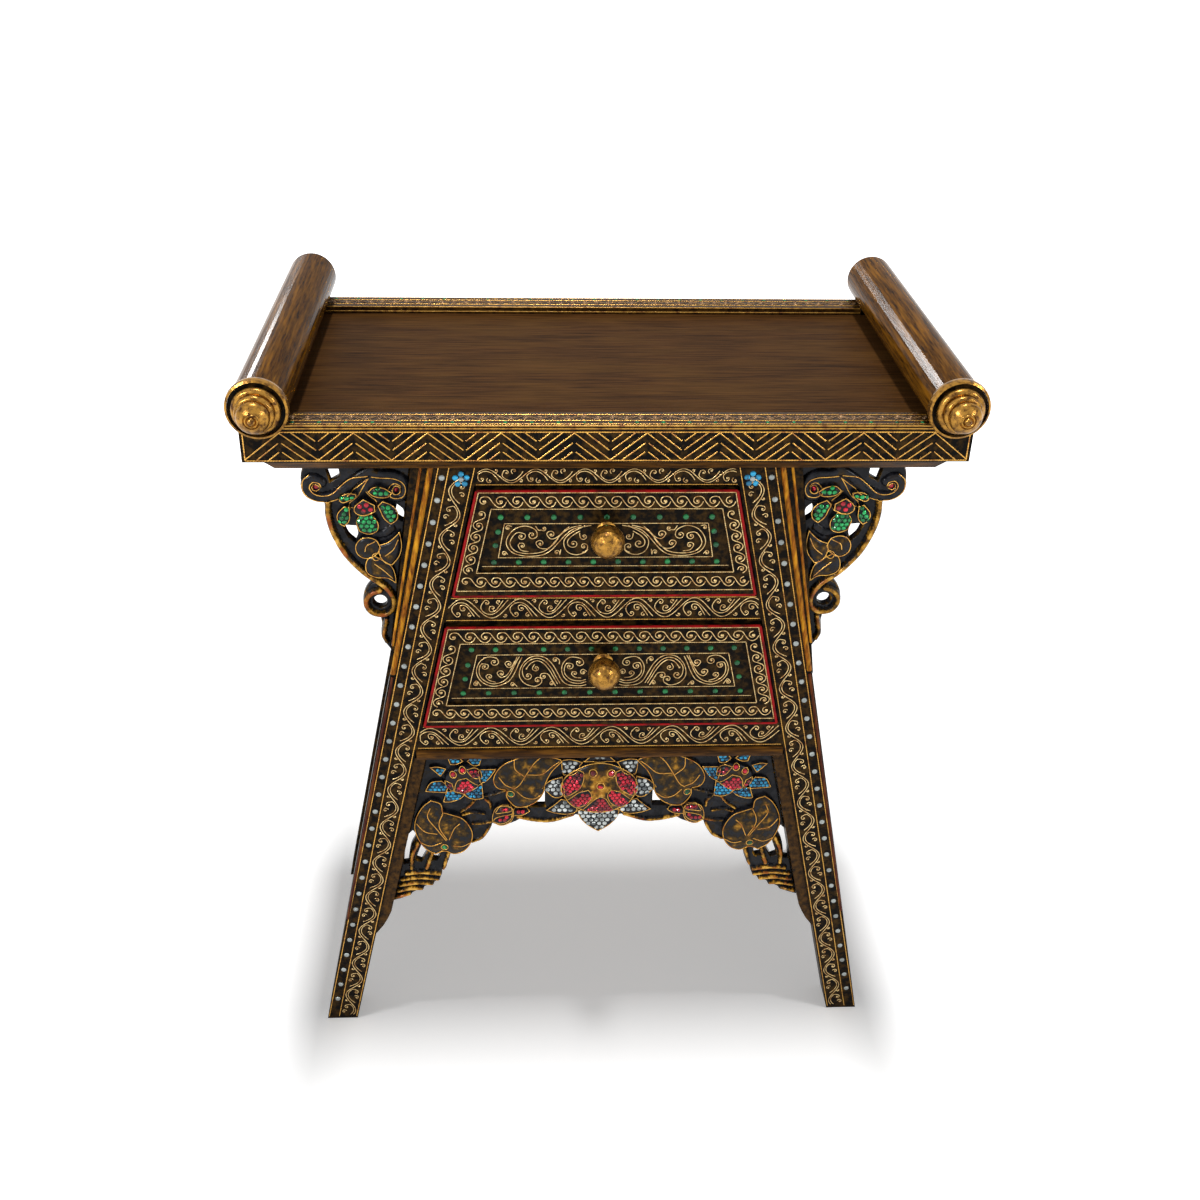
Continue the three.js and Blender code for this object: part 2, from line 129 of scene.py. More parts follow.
def node(tree, kind, inputs=None, **settings):
    """Adds a node, sets it, and gives each input its value or the output that feeds it."""
    made = tree.nodes.new(kind)
    for name, value in settings.items():
        setattr(made, name, value)
    for name, value in (inputs or {}).items():
        if isinstance(value, bpy.types.NodeSocket):
            tree.links.new(value, made.inputs[name])
        else:
            made.inputs[name].default_value = value
    return made


def start_material(name, **shader_inputs):
    """A new material: its tree, its shader, and the place on the piece in millimetres."""
    material = bpy.data.materials.new(name)
    material.use_nodes = True
    tree = material.node_tree
    tree.nodes.clear()
    values = {key.replace("_", " "): value for key, value in shader_inputs.items()}
    shader = node(tree, "ShaderNodeBsdfPrincipled", values)
    node(tree, "ShaderNodeOutputMaterial", {"Surface": shader.outputs["BSDF"]})
    spot = node(tree, "ShaderNodeTexCoord").outputs["Object"]
    place = node(tree, "ShaderNodeMapping", {"Vector": spot, "Scale": (1 / MM, 1 / MM, 1 / MM)})
    return material, tree, shader, place.outputs["Vector"]


BRUSH_GRAIN = 1.6


def rubbed(name, ground, rub, patch_mm, amount, bump_mm, painted_flank_shade=None, **shader_inputs):
    """Two coats in soft patches, with a grained skin. A flank colour paints shade on the sides of threads.
    """
    material, tree, shader, place = start_material(name, **shader_inputs)
    patches = node(tree, "ShaderNodeTexNoise", {
        "Vector": place, "Scale": 1 / patch_mm, "Detail": 5.0, "Roughness": 0.62})
    mask = node(tree, "ShaderNodeMapRange", {
        "Value": patches.outputs[0], "From Min": 0.62 - amount, "From Max": 0.72 - amount / 3})
    colour = node(tree, "ShaderNodeMix", {
        0: mask.outputs[0], 6: linear(ground), 7: linear(rub)}, data_type="RGBA")
    # Painted shade: the flank colour darkens a thread where its surface turns away from the board.
    if painted_flank_shade:
        crown = node(tree, "ShaderNodeAttribute", attribute_name="crown").outputs["Fac"]
        unshaded_share = node(tree, "ShaderNodeMapRange", {"Value": crown, "From Min": 0.25, "From Max": 0.8})
        colour = node(tree, "ShaderNodeMix", {
            0: unshaded_share.outputs[0], 6: linear(painted_flank_shade), 7: colour.outputs[2]}, data_type="RGBA")
    tree.links.new(colour.outputs[2], shader.inputs["Base Color"])
    grain = node(tree, "ShaderNodeTexNoise", {"Vector": place, "Scale": 1 / BRUSH_GRAIN, "Detail": 4.0})
    bump = node(tree, "ShaderNodeBump", {
        "Height": grain.outputs[0], "Strength": 0.5, "Distance": bump_mm * MM})
    tree.links.new(bump.outputs[0], shader.inputs["Normal"])
    return material


print("gold as a linear colour:", [round(c, 3) for c in linear("#c9993f")[:3]])

# %% [markdown]
# The wood of the table is coated with black lacquer. Once the raised work is dry, gold lacquer is
# wiped over it and rubbed off again, so the ground stays near black with a brown-gold haze. A smooth
# coat could be one flat colour, but worn lacquer never is. So two colours are mixed by a soft noise
# whose patches have a real size in millimetres, and a very shallow bump gives the skin of the brush.
# The marks of a brush are finer than a picture of the whole table can show, so they are drawn 1.6 mm
# wide. A thread's sides are darkened with painted shade, and only its crown keeps the full gold.

# %% Lacquer, gilt and metal
# Black lacquer wiped with gold and rubbed: near black, with a brown haze.
BLACK_LACQUER = rubbed("rubbed_black_lacquer", "#0b0806", "#3d2b11", 7.0, 0.18, 0.12,
                       Roughness=0.4, Specular_IOR_Level=0.05)
# Gilded threads: gold, reddish where the gold has worn thin, with painted shade on their sides.
GOLD_THREAD = rubbed("gilded_lacquer_thread", "#eeb450", "#a0642c", 6.0, 0.16, 0.06, "#1d1106",
                     Roughness=0.28, Metallic=0.55)
# The finest threads are rubbed down to a paler gold, with the same painted shade on their sides.
PALE_THREAD = rubbed("worn_pale_gilt_thread", "#f0cf8e", "#a06c30", 4.0, 0.2, 0.06, "#1a0f06",
                     Roughness=0.28, Metallic=0.5)
# Gilt wiped over a whole moulding and rubbed through to the black: a dull brown gold.
RUBBED_GILT = rubbed("rubbed_gilt_moulding", "#4c3210", "#160d06", 6.0, 0.24, 0.2,
                     Roughness=0.36, Metallic=0.3, Specular_IOR_Level=0.1)
# Red lacquer on the large panels, brushed thinly, so its tone drifts over a hand's width.
RED_LACQUER = rubbed("dark_red_lacquer", "#6a0f10", "#420b0b", 60.0, 0.2, 0.08,
                     Roughness=0.38, Specular_IOR_Level=0.1)
# A fresher, brighter red along the edges of the drawer fronts.
RED_EDGE = rubbed("bright_red_lacquer_edge", "#9a1114", "#4a0c0b", 14.0, 0.16, 0.06,
                  Roughness=0.36, Specular_IOR_Level=0.1)
# Gold leaf on turned wood: a yellow metal, worn down to its brown ground in spots.
WORN_LEAF = rubbed("worn_gold_leaf", "#a87a30", "#45260e", 5.0, 0.17, 0.2,
                   Roughness=0.27, Metallic=0.8)
# Threads on top, where cloths pass: the gold has gone dull and pinkish, with painted shade on their sides.
DULL_THREAD = rubbed("dull_rose_gilt_thread", "#b88e5e", "#5c3a22", 4.0, 0.2, 0.06, "#1a0f08",
                     Roughness=0.34, Metallic=0.4)
# Zinc-plated steel of the knobs' screws: a plain grey metal with hardly any pattern.
ZINC_STEEL = rubbed("zinc_plated_steel", "#b4b6b8", "#8f9092", 3.0, 0.2, 0.03,
                    Roughness=0.35, Metallic=1.0)
print("coated finishes made")

# %% [markdown]
# The tray board and the rolls are plain stained wood under a clear coat. Wood grain is a noise that
# is stretched along the board: short across the fibres and long along them. The boards of the tray
# run from side to side, and the rolls' grain runs from front to back, so the stretch is an input.
# The brush leaves the same kind of streaks in the gold on a moulding, so mouldings use it too. Real
# fibres are a fraction of a millimetre wide, which wouldn't show, so they are drawn a little over
# one millimetre wide.

# %% Stained wood


def stained_wood(name, dark, light, pale, grain_mm, cloud_mm, drift=0.6, **shader_inputs):
    """Stained wood: fibres of the grain's size on each axis, under clouds of a paler tone."""
    material, tree, shader, place = start_material(name, **shader_inputs)
    along = node(tree, "ShaderNodeMapping", {"Vector": place, "Scale": [1 / size for size in grain_mm]})
    fibre = node(tree, "ShaderNodeTexNoise", {
        "Vector": along.outputs[0], "Scale": 1.0, "Detail": 6.0, "Roughness": 0.65, "Distortion": 0.3})
    wide = node(tree, "ShaderNodeMapping", {"Vector": place, "Scale": [1 / size for size in cloud_mm]})
    cloud = node(tree, "ShaderNodeTexNoise", {"Vector": wide.outputs[0], "Scale": 1.0, "Detail": 4.0})
    tone = node(tree, "ShaderNodeMapRange", {
        "Value": fibre.outputs[0], "From Min": 0.34, "From Max": 0.68})
    grain = node(tree, "ShaderNodeMix", {
        0: tone.outputs[0], 6: linear(dark), 7: linear(light)}, data_type="RGBA")
    share = node(tree, "ShaderNodeMapRange", {
        "Value": cloud.outputs[0], "From Min": 0.45, "From Max": 0.68, "To Max": drift})
    colour = node(tree, "ShaderNodeMix", {
        0: share.outputs[0], 6: grain.outputs[2], 7: linear(pale)}, data_type="RGBA")
    tree.links.new(colour.outputs[2], shader.inputs["Base Color"])
    bump = node(tree, "ShaderNodeBump", {
        "Height": fibre.outputs[0], "Strength": 0.35, "Distance": 0.15 * MM})
    tree.links.new(bump.outputs[0], shader.inputs["Normal"])
    return material


# Umber stain under a dull coat: long dark streaks from side to side.
TRAY_WOOD = stained_wood("umber_stained_tray", "#221306", "#54361a", "#5c3f1c", (50.0, 1.7, 4.0),
                         (90.0, 22.0, 20.0), 0.35, Roughness=0.5, Specular_IOR_Level=0.02)
# The rolls have a golden stain and a glossy coat, which shows a lamp as a bright streak.
ROLL_WOOD = stained_wood("brown_gold_roll", "#120903", "#5a370b", "#8a5a14", (1.4, 20.0, 1.4),
                         (3.0, 60.0, 3.0), 0.5, Roughness=0.18, Specular_IOR_Level=0.015)
# Gilt brushed along a moulding and rubbed through in streaks.
MOULDED_GILT = stained_wood("streaked_gilt_moulding", "#120904", "#4a2d0e", "#8a5a1c",
                            (26.0, 1.2, 1.2), (30.0, 4.0, 4.0), 0.5,
                            Roughness=0.36, Specular_IOR_Level=0.08)
# Planed hardwood without a finish, on the boards inside: pale and dull.
PLANED_WOOD = stained_wood("planed_hardwood", "#93714a", "#ad8a5e", "#b8966a", (30.0, 30.0, 3.0),
                           (60.0, 60.0, 20.0), Roughness=0.7)
print("wood made")

# %% [markdown]
# The coloured pieces are glass with foil behind them, set in a bed of black lacquer. They could be
# real glass with a mirror below, which is slow to render. Foil behind glass looks like a deep
# coloured metal under a clear coat, so the shader is half metallic with a glossy coat. Cells about
# as large as one chip shift the tone from chip to chip.

# %% Foiled glass
FOIL_WAVE = 2.5


def foiled_glass(name, deep, bright, chip_mm):
    """Glass with foil behind it, which flashes brighter in some of its chips."""
    material, tree, shader, place = start_material(name, Metallic=0.5, Roughness=0.2,
                                                   Specular_IOR_Level=0.3, Coat_Weight=0.4,
                                                   Coat_Roughness=0.04)
    chips = node(tree, "ShaderNodeTexVoronoi", {"Vector": place, "Scale": 1 / chip_mm})
    tone = node(tree, "ShaderNodeSeparateColor", {"Color": chips.outputs["Color"]})
    colour = node(tree, "ShaderNodeMix", {
        0: tone.outputs[0], 6: linear(deep), 7: linear(bright)}, data_type="RGBA")
    tree.links.new(colour.outputs[2], shader.inputs["Base Color"])
    wave = node(tree, "ShaderNodeTexNoise", {"Vector": place, "Scale": 1 / FOIL_WAVE, "Detail": 1.0})
    bump = node(tree, "ShaderNodeBump", {
        "Height": wave.outputs[0], "Strength": 0.5, "Distance": 0.3 * MM})
    tree.links.new(bump.outputs[0], shader.inputs["Normal"])
    return material


# Deep colours with bright flashes in the carvings, and darker, calmer ones in the borders.
GREEN_GLASS = foiled_glass("green_foiled_glass", "#02331a", "#1fae5c", 4.0)
RED_GLASS = foiled_glass("red_foiled_glass", "#3a020b", "#cf1430", 6.0)
BLUE_GLASS = foiled_glass("blue_foiled_glass", "#04324f", "#1f9ecc", 5.0)
CLEAR_GLASS = foiled_glass("clear_foiled_glass", "#3a4144", "#d9dfdc", 5.0)
DOT_GLASS = foiled_glass("dark_green_glass_dot", "#064024", "#0f7a3e", 9.0)
GREY_GLASS = foiled_glass("grey_glass_stud", "#7f8583", "#a7adaa", 9.0)
print("glass made")

# %% [markdown]
# Every board of the frame keeps its mesh and gets a finish. A table from finish to boards is shorter
# than a line for each board. What isn't in the table lies inside and stays in planed wood.

# %% Finish every board
FINISHES = {
    BLACK_LACQUER: ["apron_front", "apron_back", "apron_left", "apron_right", "leg_front_left",
                    "leg_front_right", "leg_back_left", "leg_back_right", "rail_top", "rail_middle",
                    "rail_bottom", "drawer_upper_front", "drawer_lower_front", "skirt_carving",
                    "wing_carving_front_left", "wing_carving_front_right", "wing_strip_front_left",
                    "wing_strip_front_right"],
    RUBBED_GILT: ["band_front", "band_back", "skirt_strip_left", "skirt_strip_right"],
    MOULDED_GILT: ["rail_nose", "cornice_board"],
    TRAY_WOOD: ["tray_board"],
    ROLL_WOOD: ["roll_left", "roll_right"],
    RED_LACQUER: ["side_panel_left", "side_panel_right", "back_panel"],
    WORN_LEAF: ["drawer_upper_knob", "drawer_lower_knob", "roll_collar_left", "roll_collar_right",
                "roll_finial_left", "roll_finial_right"],
    ZINC_STEEL: ["drawer_upper_knob_screw", "drawer_lower_knob_screw"],
}
finished = set()
for material, names in FINISHES.items():
    for name in names:
        finished.add(name)
        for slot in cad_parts[name].material_slots:
            slot.material = material
for name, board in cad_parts.items():
    if name not in finished:
        for slot in board.material_slots:
            slot.material = PLANED_WOOD
print("boards left in planed wood:", len(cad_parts) - len(finished))

# %% [markdown]
# Every finished piece is treated in the same way: it is told which body it rides on. Two small
# helpers do that, and count the triangles on the way.

# %% Set a piece on its body
pieces_made = {}


def new_piece(name, mesh):
    """A new object in the scene."""
    piece = bpy.data.objects.new(name, mesh)
    bpy.context.scene.collection.objects.link(piece)
    return piece


def ready(piece, body):
    """Sets a finished piece on its body and counts its triangles."""
    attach(piece, body)
    pieces_made[piece.name] = sum(len(face.vertices) - 2 for face in piece.data.polygons)
    print(piece.name, pieces_made[piece.name], "triangles")
    return piece


# %% [markdown]
# Each roll ends at the front in a turned finial: two rounded steps, a domed boss and a small rosette.
# A turner cuts such a piece from the side, as one profile, and the lathe does the rest. Stacked
# cylinders would leave hard steps, so here too a profile is carried round the roll's axis. It starts
# and ends on the axis, so the piece is closed. A thin black disc behind it is painted shade in the
# recess at the end of the roll.

# %% Turned roll ends
TURNED_SIDES = 56
TURNED_SMOOTH = math.radians(50)


def turned_piece(name, profile, place, finish):
    """A piece turned on an axis that runs to the front. The profile is radius and depth, front last."""
    corners, faces = [], []
    inner = [(r, depth) for r, depth in profile if r > 0]
    sides = TURNED_SIDES
    for r, depth in inner:
        for i in range(sides):
            angle = 2 * math.pi * i / sides
            corners.append((place[0] + r * math.cos(angle), place[1] - depth,
                            place[2] + r * math.sin(angle)))
    for ring in range(len(inner) - 1):
        for i in range(sides):
            a, b = ring * sides + i, ring * sides + (i + 1) % sides
            faces.append((a, b, b + sides, a + sides))
    for ring, depth, turn in ((0, profile[0][1], 1), (len(inner) - 1, profile[-1][1], -1)):
        corners.append((place[0], place[1] - depth, place[2]))
        for i in range(sides):
            a, b = ring * sides + i, ring * sides + (i + 1) % sides
            faces.append((len(corners) - 1, b, a) if turn > 0 else (len(corners) - 1, a, b))
    mesh = bpy.data.meshes.new(name)
    mesh.from_pydata((np.array(corners) * MM).tolist(), [], faces)
    mesh.materials.append(finish)
    mesh.shade_smooth()
    mesh.set_sharp_from_angle(angle=TURNED_SMOOTH)
    return ready(new_piece(name, mesh), "case")


def arc_of(radius, depth, size, start, end):
    """Part of a round moulding in a profile, as seven points between two angles in degrees."""
    angles = np.radians(np.linspace(start, end, 7))
    return [(radius + size * math.cos(a), depth + size * math.sin(a)) for a in angles]


ROLL_END = edge("roll_left", 0, 1)
FINIAL_REACH = ROLL_END - edge("roll_finial_left", 0, 1)
finial_profile = [(0, 0.3), (18.2, 0.3)] + arc_of(16.9, 5.6, 3.8, -60, 100)
finial_profile += [(14.4, 9.0)] + arc_of(13.6, 13.2, 3.2, -50, 95)
finial_profile += [(11.6, 16.0)] + arc_of(9.4, 20.4, 4.6, -55, 50)
# The rosette: a groove, a ring, another groove and a small button.
finial_profile += [(9.6, 26.2), (7.2, 27.6), (6.8, 27.0), (6.2, 27.2), (5.6, 28.6), (4.6, 28.9),
                   (3.6, 28.0), (3.0, 29.6), (1.8, FINIAL_REACH - 0.4), (0, FINIAL_REACH)]
shade_disc_profile = [(0, 0.1), (24.1, 0.1), (24.1, 0.4), (0, 0.4)]
for word in ("left", "right"):
    low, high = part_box(f"roll_finial_{word}")
    middle = ((low[0] + high[0]) / 2 / MM, ROLL_END, (low[2] + high[2]) / 2 / MM)
    finial = turned_piece(f"turned_finial_{word}", finial_profile, middle, WORN_LEAF)
    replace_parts(finial, f"roll_finial_{word}")
    # The black disc is painted shade in the recess at the end of the roll.
    turned_piece(f"roll_end_shade_disc_{word}", shade_disc_profile, middle, BLACK_LACQUER)
print("profile points of a finial:", len(finial_profile))

# %% [markdown]
# The raised drawing is done with threads of soft lacquer that are rolled out thin and laid on the
# board before it dries. A thread follows a drawn line, so each one is a line of points first. A bump
# map could fake the threads, but they stand proud and catch the light, so they get real shape. Two
# small tools draw them: one rounds a line off through a few points, and one winds a curl from its
# middle outwards. The others move drawn lines to their place on a board.

# %% Drawing tools


def rounded(points, step=0.9):
    """A smooth line through the points, as points about a step apart."""
    knots = np.asarray(points, float)
    ends = np.vstack([2 * knots[0] - knots[1], knots, 2 * knots[-1] - knots[-2]])
    line = [knots[0]]
    for i in range(1, len(ends) - 2):
        a, b, c, d = ends[i - 1:i + 3]
        count = max(1, int(round(np.linalg.norm(c - b) / step)))
        for t in np.arange(1, count + 1) / count:
            line.append(0.5 * (2 * b + (c - a) * t + (2 * a - 5 * b + 4 * c - d) * t * t
                               + (3 * b - a - 3 * c + d) * t ** 3))
    return np.array(line)


def curl(centre, radius, leave, turns=1.15, clockwise=True):
    """A spiral from its middle outwards, up to where it leaves at that angle in degrees."""
    sign = -1 if clockwise else 1
    share = np.linspace(0, 1, max(6, int(turns * 9)))
    angle = math.radians(leave) - sign * (1 - share) * turns * 2 * math.pi
    return [(centre[0] + radius * part * math.cos(a), centre[1] + radius * part * math.sin(a))
            for part, a in zip(share, angle)]


def turned(lines, origin, along):
    """Moves lines drawn in (along, across) to the board: along is the direction of their first axis."""
    along = np.asarray(along, float) / np.linalg.norm(along)
    across = np.array([-along[1], along[0]])
    return [np.asarray(origin) + np.outer(line[:, 0], along) + np.outer(line[:, 1], across)
            for line in lines]


def mirrored(lines):
    """The same lines on the other side of the middle."""
    return [line * [-1, 1] for line in lines]


def closed(corners):
    """A closed line through the corners, as one straight line for each side, so corners stay sharp."""
    return [np.array([corners[i], corners[(i + 1) % len(corners)]], float)
            for i in range(len(corners))]


def upright(lines, y):
    """Lines in X and Z, laid on a face that looks to the front at that depth."""
    return [np.column_stack([line[:, 0], np.full(len(line), y), line[:, 1]]) for line in lines]


def level(lines, z):
    """Lines in X and Y, laid on a face that looks up at that height."""
    return [np.column_stack([line[:, 0], line[:, 1], np.full(len(line), z)]) for line in lines]


print("a curl has", len(curl((0, 0), 5, 90)), "points")

# %% [markdown]
# Geometry Nodes turn the drawn lines into threads. A curve with a bevel could do that for a plain
# thread, but a tree can do more, and serves every thread on the table. The line becomes a curve, a
# small ring is swept along it, and the sweep is given its finish. Border lines are beaded, like a
# string of grains: the curve is cut into even steps, and every second point is drawn in thinner.
# A curl is rolled round a small ball, so the tree can also set a ball on the first point of each
# line. The tree also notes on each point how squarely it looks away from the board, as "crown", and
# the finish paints shade on the sides of the thread where that is low.

# %% A tree that sweeps threads


def new_tree(name, inputs):
    """A tree that takes geometry and some named inputs, and gives geometry back."""
    tree = bpy.data.node_groups.new(name, "GeometryNodeTree")
    for label, kind in {"Geometry": "Geometry", **inputs}.items():
        tree.interface.new_socket(label, in_out="INPUT", socket_type=f"NodeSocket{kind}")
    tree.interface.new_socket("Geometry", in_out="OUTPUT", socket_type="NodeSocketGeometry")
    return tree, node(tree, "NodeGroupInput").outputs


def sweep_tree():
    """The tree behind every thread: its thickness, sides, beads, first ball and finish are inputs."""
    tree, source = new_tree("laid_thread", {"Thickness": "Float", "Sides": "Int", "Bead Length": "Float",
                                            "Ball Radius": "Float", "Finish": "Material"})
    curve = node(tree, "GeometryNodeMeshToCurve", {"Mesh": source["Geometry"]})
    half_bead = node(tree, "ShaderNodeMath", {0: source["Bead Length"], 1: 0.5}, operation="MULTIPLY")
    cut = node(tree, "GeometryNodeResampleCurve", {
        "Curve": curve.outputs[0], "Length": half_bead.outputs[0]}, mode="LENGTH")
    beaded = node(tree, "FunctionNodeCompare", {
        0: source["Bead Length"], 1: 0.0}, operation="GREATER_THAN")
    line = node(tree, "GeometryNodeSwitch", {
        "Switch": beaded.outputs[0], "False": curve.outputs[0],
        "True": cut.outputs[0]}, input_type="GEOMETRY")
    number = node(tree, "GeometryNodeInputIndex")
    every_second = node(tree, "ShaderNodeMath", {0: number.outputs[0], 1: 2.0}, operation="MODULO")
    drawn_in = node(tree, "ShaderNodeMath", {
        0: every_second.outputs[0], 1: -0.42, 2: 1.0}, operation="MULTIPLY_ADD")
    shape = node(tree, "GeometryNodeSwitch", {
        "Switch": beaded.outputs[0], "False": 1.0, "True": drawn_in.outputs[0]}, input_type="FLOAT")
    width = node(tree, "ShaderNodeMath", {
        0: shape.outputs[0], 1: source["Thickness"]}, operation="MULTIPLY")
    half = node(tree, "ShaderNodeMath", {0: width.outputs[0], 1: 0.5}, operation="MULTIPLY")
    ring = node(tree, "GeometryNodeCurvePrimitiveCircle", {"Resolution": source["Sides"], "Radius": 1.0})
    tube = node(tree, "GeometryNodeCurveToMesh", {
        "Curve": line.outputs[0], "Scale": half.outputs[0], "Profile Curve": ring.outputs[0],
        "Fill Caps": True})
    first = node(tree, "GeometryNodeCurveEndpointSelection", {"Start Size": 1, "End Size": 0})
    wanted = node(tree, "FunctionNodeCompare", {
        0: source["Ball Radius"], 1: 0.0}, operation="GREATER_THAN")
    chosen = node(tree, "FunctionNodeBooleanMath", {
        0: first.outputs[0], 1: wanted.outputs[0]}, operation="AND")
    ball = node(tree, "GeometryNodeMeshUVSphere", {
        "Segments": 7, "Rings": 4, "Radius": source["Ball Radius"]})
    balls = node(tree, "GeometryNodeInstanceOnPoints", {
        "Points": line.outputs[0], "Instance": ball.outputs[0], "Selection": chosen.outputs[0]})
    both = node(tree, "GeometryNodeJoinGeometry")
    tree.links.new(tube.outputs[0], both.inputs[0])
    tree.links.new(balls.outputs[0], both.inputs[0])
    real = node(tree, "GeometryNodeRealizeInstances", {"Geometry": both.outputs[0]})
    # For painted shade: how squarely each point faces away from the board, so the finish can darken a
    # thread's sides.
    normal = node(tree, "GeometryNodeInputNormal")
    facing = node(tree, "GeometryNodeInputNamedAttribute", {"Name": "facing"}, data_type="FLOAT_VECTOR")
    crown = node(tree, "ShaderNodeVectorMath", {
        0: normal.outputs[0], 1: facing.outputs[0]}, operation="DOT_PRODUCT")
    marked = node(tree, "GeometryNodeStoreNamedAttribute", {
        "Geometry": real.outputs[0], "Name": "crown",
        "Value": crown.outputs["Value"]}, data_type="FLOAT", domain="POINT")
    soft = node(tree, "GeometryNodeSetShadeSmooth", {"Geometry": marked.outputs[0]})
    done = node(tree, "GeometryNodeSetMaterial", {
        "Geometry": soft.outputs[0], "Material": source["Finish"]})
    node(tree, "NodeGroupOutput", {"Geometry": done.outputs[0]})
    return tree


THREAD_TREE = sweep_tree()
print("nodes in the thread tree:", len(THREAD_TREE.nodes))

# %% Lay threads
FRONT = (0.0, -1.0, 0.0)
BACK = (0.0, 1.0, 0.0)
LEFT = (-1.0, 0.0, 0.0)
RIGHT = (1.0, 0.0, 0.0)
UP = (0.0, 0.0, 1.0)


def grown(name, mesh, tree, inputs, body):
    """Runs a tree on a mesh and keeps the result as a plain piece that rides on a body."""
    piece = new_piece(name, mesh)
    modifier = piece.modifiers.new("grow", "NODES")
    modifier.node_group = tree
    for item in tree.interface.items_tree:
        if item.in_out == "INPUT" and item.name in inputs:
            modifier[item.identifier] = inputs[item.name]
    graph = bpy.context.evaluated_depsgraph_get()
    result = bpy.data.meshes.new_from_object(piece.evaluated_get(graph))
    piece.modifiers.remove(modifier)
    piece.data = result
    result.name = name
    return ready(piece, body)


def threads(name, lines, finish, body="case", *, thickness, bead=0.0, ball=0.0,
            sides=5, facing=FRONT):
    """Lays threads on drawn lines. Facing is one direction for all lines, or a list with one each."""
    corners = np.vstack(lines) * MM
    links = []
    start = 0
    for line in lines:
        links += [(start + i, start + i + 1) for i in range(len(line) - 1)]
        start += len(line)
    mesh = bpy.data.meshes.new(name)
    mesh.from_pydata(corners.tolist(), links, [])
    directions = [facing] * len(lines) if isinstance(facing, tuple) else facing
    looks = mesh.attributes.new("facing", "FLOAT_VECTOR", "POINT")
    counts = [len(line) for line in lines]
    looks.data.foreach_set("vector", np.repeat(directions, counts, axis=0).ravel())
    inputs = {"Thickness": thickness * MM, "Sides": sides, "Bead Length": bead * MM,
              "Ball Radius": ball * MM, "Finish": finish}
    return grown(name, mesh, THREAD_TREE, inputs, body)


print("a face in front looks along", FRONT)

# %% [markdown]
# Round glass pieces and studs repeat along the borders and fill the petals of the carvings. Placing
# hundreds of objects by hand would be slow. So one low dome with nine sides is made in a tree and
# copied to each drawn point, which carries its own size and the direction that it faces.

# %% A tree that sets domes


def dome_tree():
    """A dome on every point, with a flat share of its radius as its height."""
    tree, source = new_tree("set_dome", {"Flatness": "Float", "Sides": "Int", "Finish": "Material"})
    ball = node(tree, "GeometryNodeMeshUVSphere", {
        "Segments": source["Sides"], "Rings": 6, "Radius": 1.0})
    squeeze = node(tree, "ShaderNodeCombineXYZ", {"X": 1.0, "Y": 1.0, "Z": source["Flatness"]})
    dome = node(tree, "GeometryNodeTransform", {
        "Geometry": ball.outputs[0], "Scale": squeeze.outputs[0]})
    facing = node(tree, "GeometryNodeInputNamedAttribute", {"Name": "facing"}, data_type="FLOAT_VECTOR")
    size = node(tree, "GeometryNodeInputNamedAttribute", {"Name": "size"}, data_type="FLOAT")
    turn = node(tree, "FunctionNodeAlignRotationToVector", {"Vector": facing.outputs[0]}, axis="Z")
    set_in = node(tree, "GeometryNodeInstanceOnPoints", {
        "Points": source["Geometry"], "Instance": dome.outputs[0], "Rotation": turn.outputs[0],
        "Scale": size.outputs[0]})
    real = node(tree, "GeometryNodeRealizeInstances", {"Geometry": set_in.outputs[0]})
    done = node(tree, "GeometryNodeSetMaterial", {
        "Geometry": real.outputs[0], "Material": source["Finish"]})
    node(tree, "NodeGroupOutput", {"Geometry": done.outputs[0]})
    return tree


DOME_TREE = dome_tree()
DOME_SIDES = 9


def domes(name, spots, finish, body="case", *, flatness=0.45):
    """Sets domes at spots, each given as place, facing and radius in millimetres."""
    mesh = bpy.data.meshes.new(name)
    mesh.from_pydata([(x * MM, y * MM, z * MM) for (x, y, z), _, _ in spots], [], [])
    size = mesh.attributes.new("size", "FLOAT", "POINT")
    size.data.foreach_set("value", [radius * MM for _, _, radius in spots])
    facing = mesh.attributes.new("facing", "FLOAT_VECTOR", "POINT")
    facing.data.foreach_set("vector", [part for _, direction, _ in spots for part in direction])
    inputs = {"Flatness": flatness, "Sides": DOME_SIDES, "Finish": finish}
    return grown(name, mesh, DOME_TREE, inputs, body)


print("nodes in the dome tree:", len(DOME_TREE.nodes))

# %% [markdown]
# The apron of the top carries a row of chevrons. The main line is a zigzag from edge to edge with a
# peak every 62.5 mm. Under each peak and above each valley lie two smaller chevrons whose arms stop
# short of the middle. A beaded line runs along the top, the bottom and the ends. Each line could be
# drawn by hand, but a loop keeps the spacing true. The picture shows only the front. The pattern is
# carried round all four sides, as a maker would do on a table that stands free.

# %% Chevrons on the apron
PEAK_SPACING = 62.5
CHEVRON_LOW = APRON_LOW + 2.2
CHEVRON_HIGH = APRON_TOP - 2.6
# How much of the full height a chevron has, and how far its arms stay from the middle.
NESTED = [(1.0, 0.0), (0.67, 1.3), (0.34, 1.3)]
SHORTEST_ARM = 2
# How far the beading stays outside the chevrons, below and above.
BEADING_CLEAR = (0.6, 0.8)


def chevrons(half_length):
    """The lines of one apron board in (along, up)."""
    lines = []
    half = PEAK_SPACING / 2
    for i in range(int(half_length / half) + 1):
        for side in (-1, 1):
            if i == 0 and side < 0:
                continue
            middle = side * i * half
            upwards = i % 2 == 1
            base, tip = (CHEVRON_LOW, CHEVRON_HIGH) if upwards else (CHEVRON_HIGH, CHEVRON_LOW)
            for share, gap in NESTED:
                for arm in (-1, 1):
                    reach = min(half * share, half_length - arm * middle)
                    if reach <= gap + SHORTEST_ARM or (share == 1.0 and not upwards):
                        continue
                    rise = (tip - base) * share
                    start = (middle + arm * gap, base + rise * (1 - gap / (half * share)))
                    end = (middle + arm * reach, base + rise * (1 - reach / (half * share)))
                    lines.append(np.array([start, end]))
    return lines


